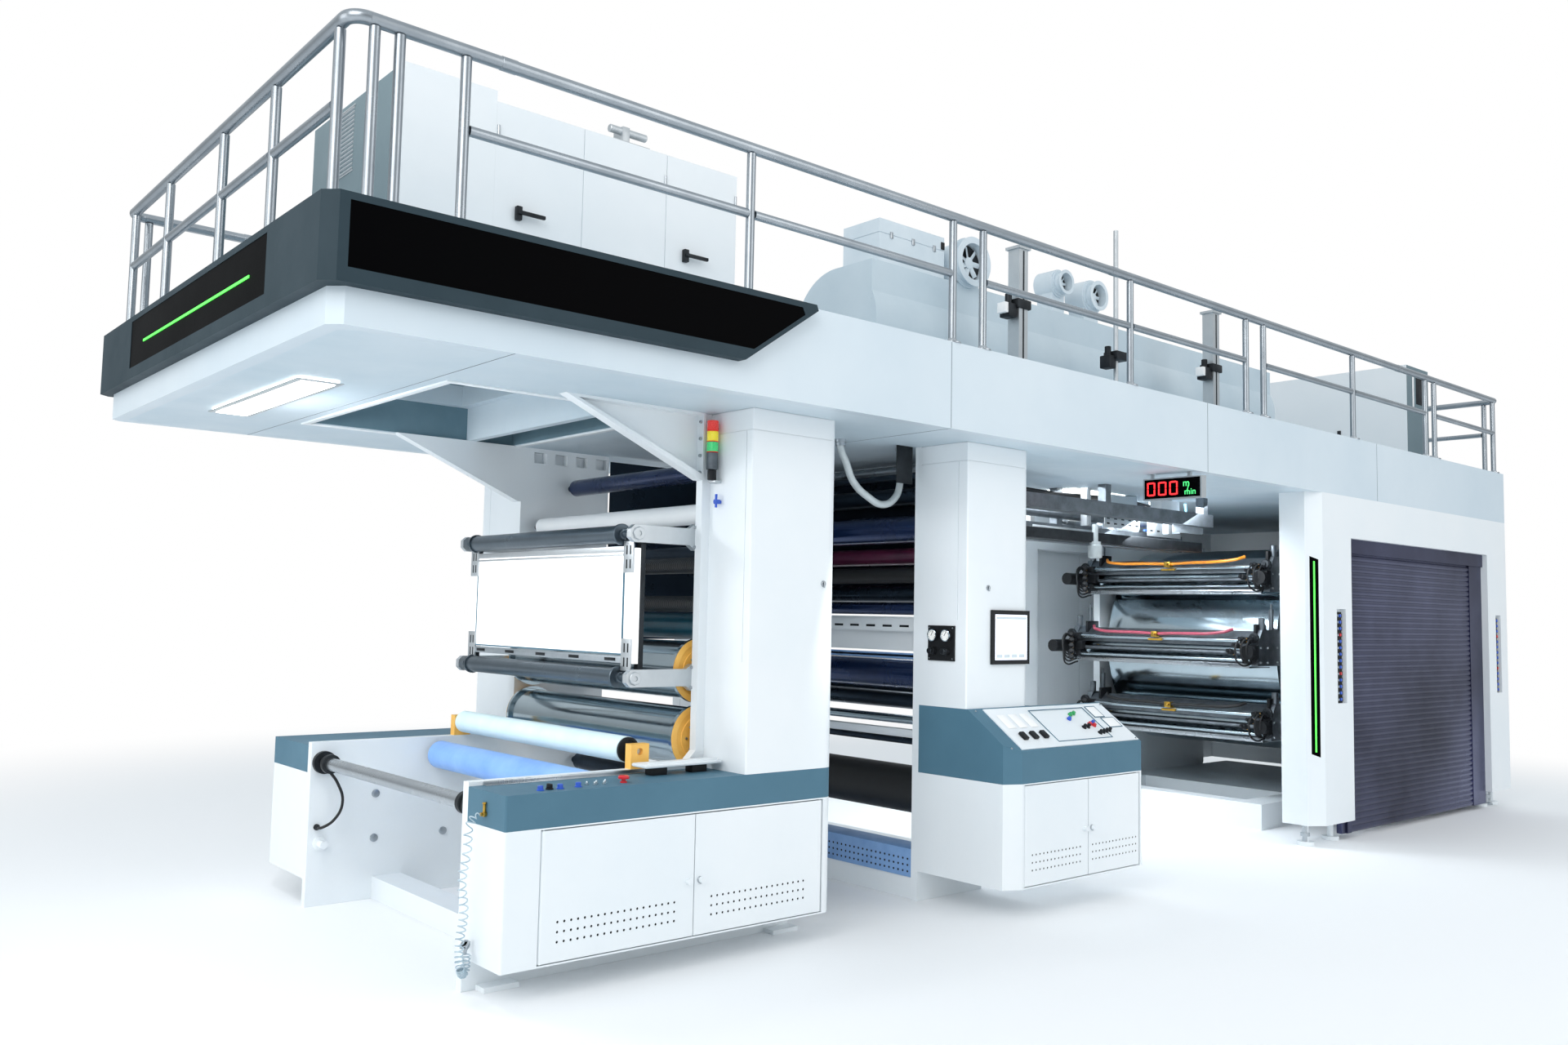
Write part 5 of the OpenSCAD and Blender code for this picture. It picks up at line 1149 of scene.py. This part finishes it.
@dataclass
class Rooftop:
    """Handles, louvre, clamps, fan throats and valves on the platform."""

    def build(self) -> None:
        """Model and finish the pieces."""
        self._cabinet()
        self._fans()
        self._columns()
        self._tunnel()

    def _cabinet(self) -> None:
        """Louvre, handles and brackets of the electrical cabinet."""
        slats = [block((-306, 1000, z), (-298, 1254, z + 10), 1, (0, 28, 0)) for z in span(3326, 3594, 15)]
        frame_bars = [block((-305, 992, 3316), (-300, 1262, 3322), 1), block((-305, 992, 3606), (-300, 1262, 3612), 1)]
        piece("cabinet_louvre", slats + frame_bars, ALUMINIUM)
        # A thin grey plate over the cabinet's left face: painted shade.
        piece("cabinet_side_painted_shade", [block((-301.5, 503, 2705), (-299.5, 1477, 3632), 1)], GREY_PAINTED_SHADE)
        handles = [block((x, 476, 3100), (x + 26, 500, 3160), 3) for x in (208, 1082)]
        handles += [block((x + 4, 462, 3122), (x + 130, 478, 3138), 3) for x in (208, 1082)]
        handles += [block((8230, 700, 3080), (8240, 730, 3140), 3)]
        piece("cabinet_handles", handles, DARK_STEEL)
        # A thin grey plate over the end cabinet's front: painted shade.
        piece("end_cabinet_front_painted_shade", [block((8242, 148.8, 2702), (8668, 150.6, 3638), 0)], GREY_PAINTED_SHADE)
        piece("end_cabinet_window", [block((8420, 146, 3330), (8640, 151, 3560), 3)], DARK_STEEL)
        piece("end_cabinet_strip", [block((8350, 145, 3300), (8376, 151, 3580), 3)], LABEL)
        lamp = [block((700, 520, 3590), (900, 640, 3604), 3), block((760, 540, 3604), (800, 620, 3680), 4), rod((700, 560, 3660), (900, 560, 3660), 36, 3)]
        piece("cabinet_top_bracket", lamp, ALUMINIUM)
        hinges = [rod((x, 497, z), (x, 497, z + 70), 12, 1) for x in (120, 976, 1392) for z in (2860, 3420)]
        piece("cabinet_hinges", hinges, STEEL)

    def _fans(self) -> None:
        """Dark discs of painted shade in the fan throats, hubs of the fans, and latches of the hood."""
        throats, hubs = [], []
        for x, d, z in ((3340, 300, 3600), (4255, 160, 3655), (4616, 200, 3632)):
            # A thin dark disc in each throat: painted shade inside the fan.
            throats.append(turned((x, 700, z), (0, -1, 0), [(d * 0.36, 0), (d * 0.36, 2)], 40))
            hubs.append(turned((x, 698, z), (0, -1, 0), [(d * 0.12, 0), (d * 0.12, 14), (d * 0.08, 18)], 24))
            for k in range(7):
                a = k * 360 / 7
                c = Vector((x + d * 0.22 * math.cos(math.radians(a)), 690, z + d * 0.22 * math.sin(math.radians(a))))
                hubs.append(block(c - Vector((d * 0.11, 1.5, d * 0.05)), c + Vector((d * 0.11, 1.5, d * 0.05)), 1, (24, -a, 0)))
        piece("fan_throat_shade", throats, DARK_STEEL)
        piece("fan_blades", hubs, PALE_GREY)
        latches = [block((x, 700, 3612), (x + 22, 706, 3650), 2) for x in (2680, 2860, 3040)]
        piece("hood_latches", latches, STEEL)
        piece("hood_window", [block((3110, 700.5, 3640), (3139, 706, 3684), 1)], BLACK_PLASTIC)

    def _columns(self) -> None:
        """Clamps and slots of the lift columns and the pole."""
        grips = []
        for x, z in ((3325, 3240), (5430, 3180), (4300, 3090)):
            grips += [block((x - 60, 248, z), (x + 60, 352, z + 54), 6), block((x - 120, 262, z - 60), (x - 52, 338, z + 20), 6),
                      rod((x - 86, 300, z + 20), (x - 86, 300, z + 80), 40, 3)]
        piece("column_clamps", grips, DARK_STEEL)
        # The slots of the lift columns are thin dark strips: painted shade in the slots.
        slots = [block((x - 6, 258.6, 2720), (x + 6, 260.4, 3580), 0) for x in (3325, 5430)]
        piece("column_slot_shade", slots, DARK_STEEL)
        pads = [block((x - 150, 270, z), (x - 120, 330, z + 60), 4) for x, z in ((3325, 3200), (5430, 3140))]
        piece("column_pads", pads, LABEL)

    def _tunnel(self) -> None:
        """Valves and seams on the front of the dryer tunnel."""
        seam = [block((2536, 698.6, 3233), (7010, 700.4, 3237), 0)]
        piece("tunnel_seam", seam, SLATE_TRIM)
        valves, stems = [], []
        for x, z in ((2820, 2990), (3900, 2880), (4220, 2900), (4480, 2880), (4900, 2860), (6300, 2850)):
            valves += [turned((x, 700, z), (0, -1, 0), [(26, 0), (26, 8), (14, 10), (14, 50), (20, 52), (20, 66)], 20)]
            stems += [rod((x - 50, 650, z), (x + 50, 650, z), 18, 2), rod((x, 650, z), (x, 650, z + 46), 10), block((x - 24, 640, z + 44), (x + 24, 660, z + 52), 2)]
        piece("tunnel_valves", valves, BRASS)
        piece("tunnel_valve_stems", stems, STEEL)


@dataclass
class Studio:
    """Floor, light and camera."""

    eye: Vector = field(default_factory=lambda: Vector((-6.3845, -5.3175, 1.457)))
    yaw: float = 40.744
    pitch: float = 4.327
    roll: float = 1.159
    lens: float = 28.11

    def build(self) -> None:
        """Set up the stage."""
        self._floor()
        self._world()
        self._lamp("key", (-10, -5, 6), (-1, 0, 1.4), 6.0, 330, "#FFFDFB")
        self._lamp("front", (2, -10, 5), (2, 0, 1.4), 7.0, 228, "#FFFDFB")
        self._lamp("left", (-12, 1.5, 3), (-1, 0, 1.3), 5.0, 150, "#FFFDFB")
        self._lamp("unwinder", at(-480, 1330, 2338), at(900, 1155, 800), 0.5, 20, "#FAFCFF")
        self._lamp("infeed", at(1750, -300, 1500), at(2600, 300, 1300), 0.5, 2.5, "#FAFCFF")
        self._lamp("bay", (0.2, 0.2, 2.3), (0.6, 0.2, 0), 1.6, 60, "#F2F9FF")
        self._lamp("print_bay", (1.4, -0.2, 2.28), (2.2, 0.2, 0.4), 1.2, 95, "#F2F9FF")
        self._camera()

    def _floor(self) -> None:
        """A plain pale floor."""
        bpy.ops.object.select_all(action="DESELECT")
        bpy.ops.mesh.primitive_plane_add(size=120, location=(0, 0, -0.0005))
        floor = bpy.context.active_object
        floor.name = "studio_floor"
        material = bpy.data.materials.new("studio floor")
        material.use_nodes = True
        tree = material.node_tree
        tree.nodes.clear()
        where = add_node(tree, "ShaderNodeTexCoord").outputs["Object"]
        away = add_node(tree, "ShaderNodeVectorMath", {"operation": "LENGTH"}, {0: where}).outputs["Value"]
        fade = add_node(tree, "ShaderNodeMapRange", {"interpolation_type": "SMOOTHSTEP"},
                        {"Value": away, "From Min": 5.5, "From Max": 10.0}).outputs["Result"]
        ray = add_node(tree, "ShaderNodeLightPath").outputs["Is Camera Ray"]
        seen = add_node(tree, "ShaderNodeMath", {"operation": "MULTIPLY"}, {0: fade, 1: ray}).outputs[0]
        paint = add_node(tree, "ShaderNodeBsdfPrincipled", None, {"Base Color": linear("#F7F9FB"), "Roughness": 0.7})
        white = add_node(tree, "ShaderNodeEmission", None, {"Color": (1, 1, 1, 1), "Strength": 1.0})
        mix = add_node(tree, "ShaderNodeMixShader", None, {0: seen, 1: paint.outputs[0], 2: white.outputs[0]})
        add_node(tree, "ShaderNodeOutputMaterial", None, {"Surface": mix.outputs[0]})
        floor.data.materials.append(material)

    def _world(self) -> None:
        """White for the camera and soft bluish light for the object."""
        world = bpy.data.worlds.new("studio")
        bpy.context.scene.world = world
        world.use_nodes = True
        tree = world.node_tree
        tree.nodes.clear()
        ray = add_node(tree, "ShaderNodeLightPath")
        where = add_node(tree, "ShaderNodeTexCoord").outputs["Generated"]
        height = add_node(tree, "ShaderNodeSeparateXYZ", None, {"Vector": where}).outputs["Z"]
        level = add_node(tree, "ShaderNodeMapRange", {"interpolation_type": "SMOOTHSTEP"},
                         {"Value": height, "From Min": -0.1, "From Max": 0.7, "To Min": 0.43, "To Max": 0.9})
        soft = add_node(tree, "ShaderNodeBackground", None, {"Color": linear("#F0F6FA"), "Strength": level.outputs["Result"]})
        white = add_node(tree, "ShaderNodeBackground", None, {"Color": (1, 1, 1, 1), "Strength": 1.0})
        mix = add_node(tree, "ShaderNodeMixShader", None, {0: ray.outputs["Is Camera Ray"], 1: soft.outputs[0], 2: white.outputs[0]})
        add_node(tree, "ShaderNodeOutputWorld", None, {"Surface": mix.outputs[0]})

    def _lamp(self, name: str, place: Point, target: Point, size: float, power: float, colour: str) -> None:
        """A soft area light at place, in metres, that points at target."""
        bpy.ops.object.select_all(action="DESELECT")
        bpy.ops.object.light_add(type="AREA", location=place)
        lamp = bpy.context.active_object
        lamp.name = f"light_{name}"
        lamp.data.size = size
        lamp.data.energy = power
        lamp.data.color = linear(colour)[:3]
        lamp.rotation_euler = (Vector(target) - Vector(place)).to_track_quat("-Z", "Y").to_euler()

    def _camera(self) -> None:
        """The camera of the photograph."""
        yaw, pitch, roll = (math.radians(v) for v in (self.yaw, self.pitch, self.roll))
        ahead = Vector((math.sin(yaw) * math.cos(pitch), math.cos(yaw) * math.cos(pitch), math.sin(pitch)))
        level = Vector((math.cos(yaw), -math.sin(yaw), 0))
        up = level.cross(ahead)
        right = math.cos(roll) * level + math.sin(roll) * up
        down = math.sin(roll) * level - math.cos(roll) * up
        bpy.ops.object.select_all(action="DESELECT")
        bpy.ops.object.camera_add(location=self.eye)
        camera = bpy.context.active_object
        camera.name = "camera"
        turn = Matrix((right, -down, -ahead)).transposed().to_4x4()
        camera.matrix_world = Matrix.Translation(self.eye) @ turn
        camera.data.lens = self.lens
        camera.data.sensor_width = 36
        camera.data.clip_end = 200
        bpy.context.scene.camera = camera
        bpy.context.scene.view_settings.view_transform = "Standard"


def main() -> None:
    """Build the scene."""
    logging.basicConfig(level=logging.INFO, format="%(message)s")
    Studio().build()
    dress_cad()
    parts = [Cords(), Platform(), Rails(), Unwinder(), Vents(), WebPath(), Console(), PrintBay(), PortalFittings(), Rooftop()]
    parts += [Deck(level, side) for level in Level for side in (-1, 1)]
    for part in parts:
        part.build()
        LOG.info("built %s", part.__class__.__name__)


if __name__ == "__main__":
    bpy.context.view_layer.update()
    main()
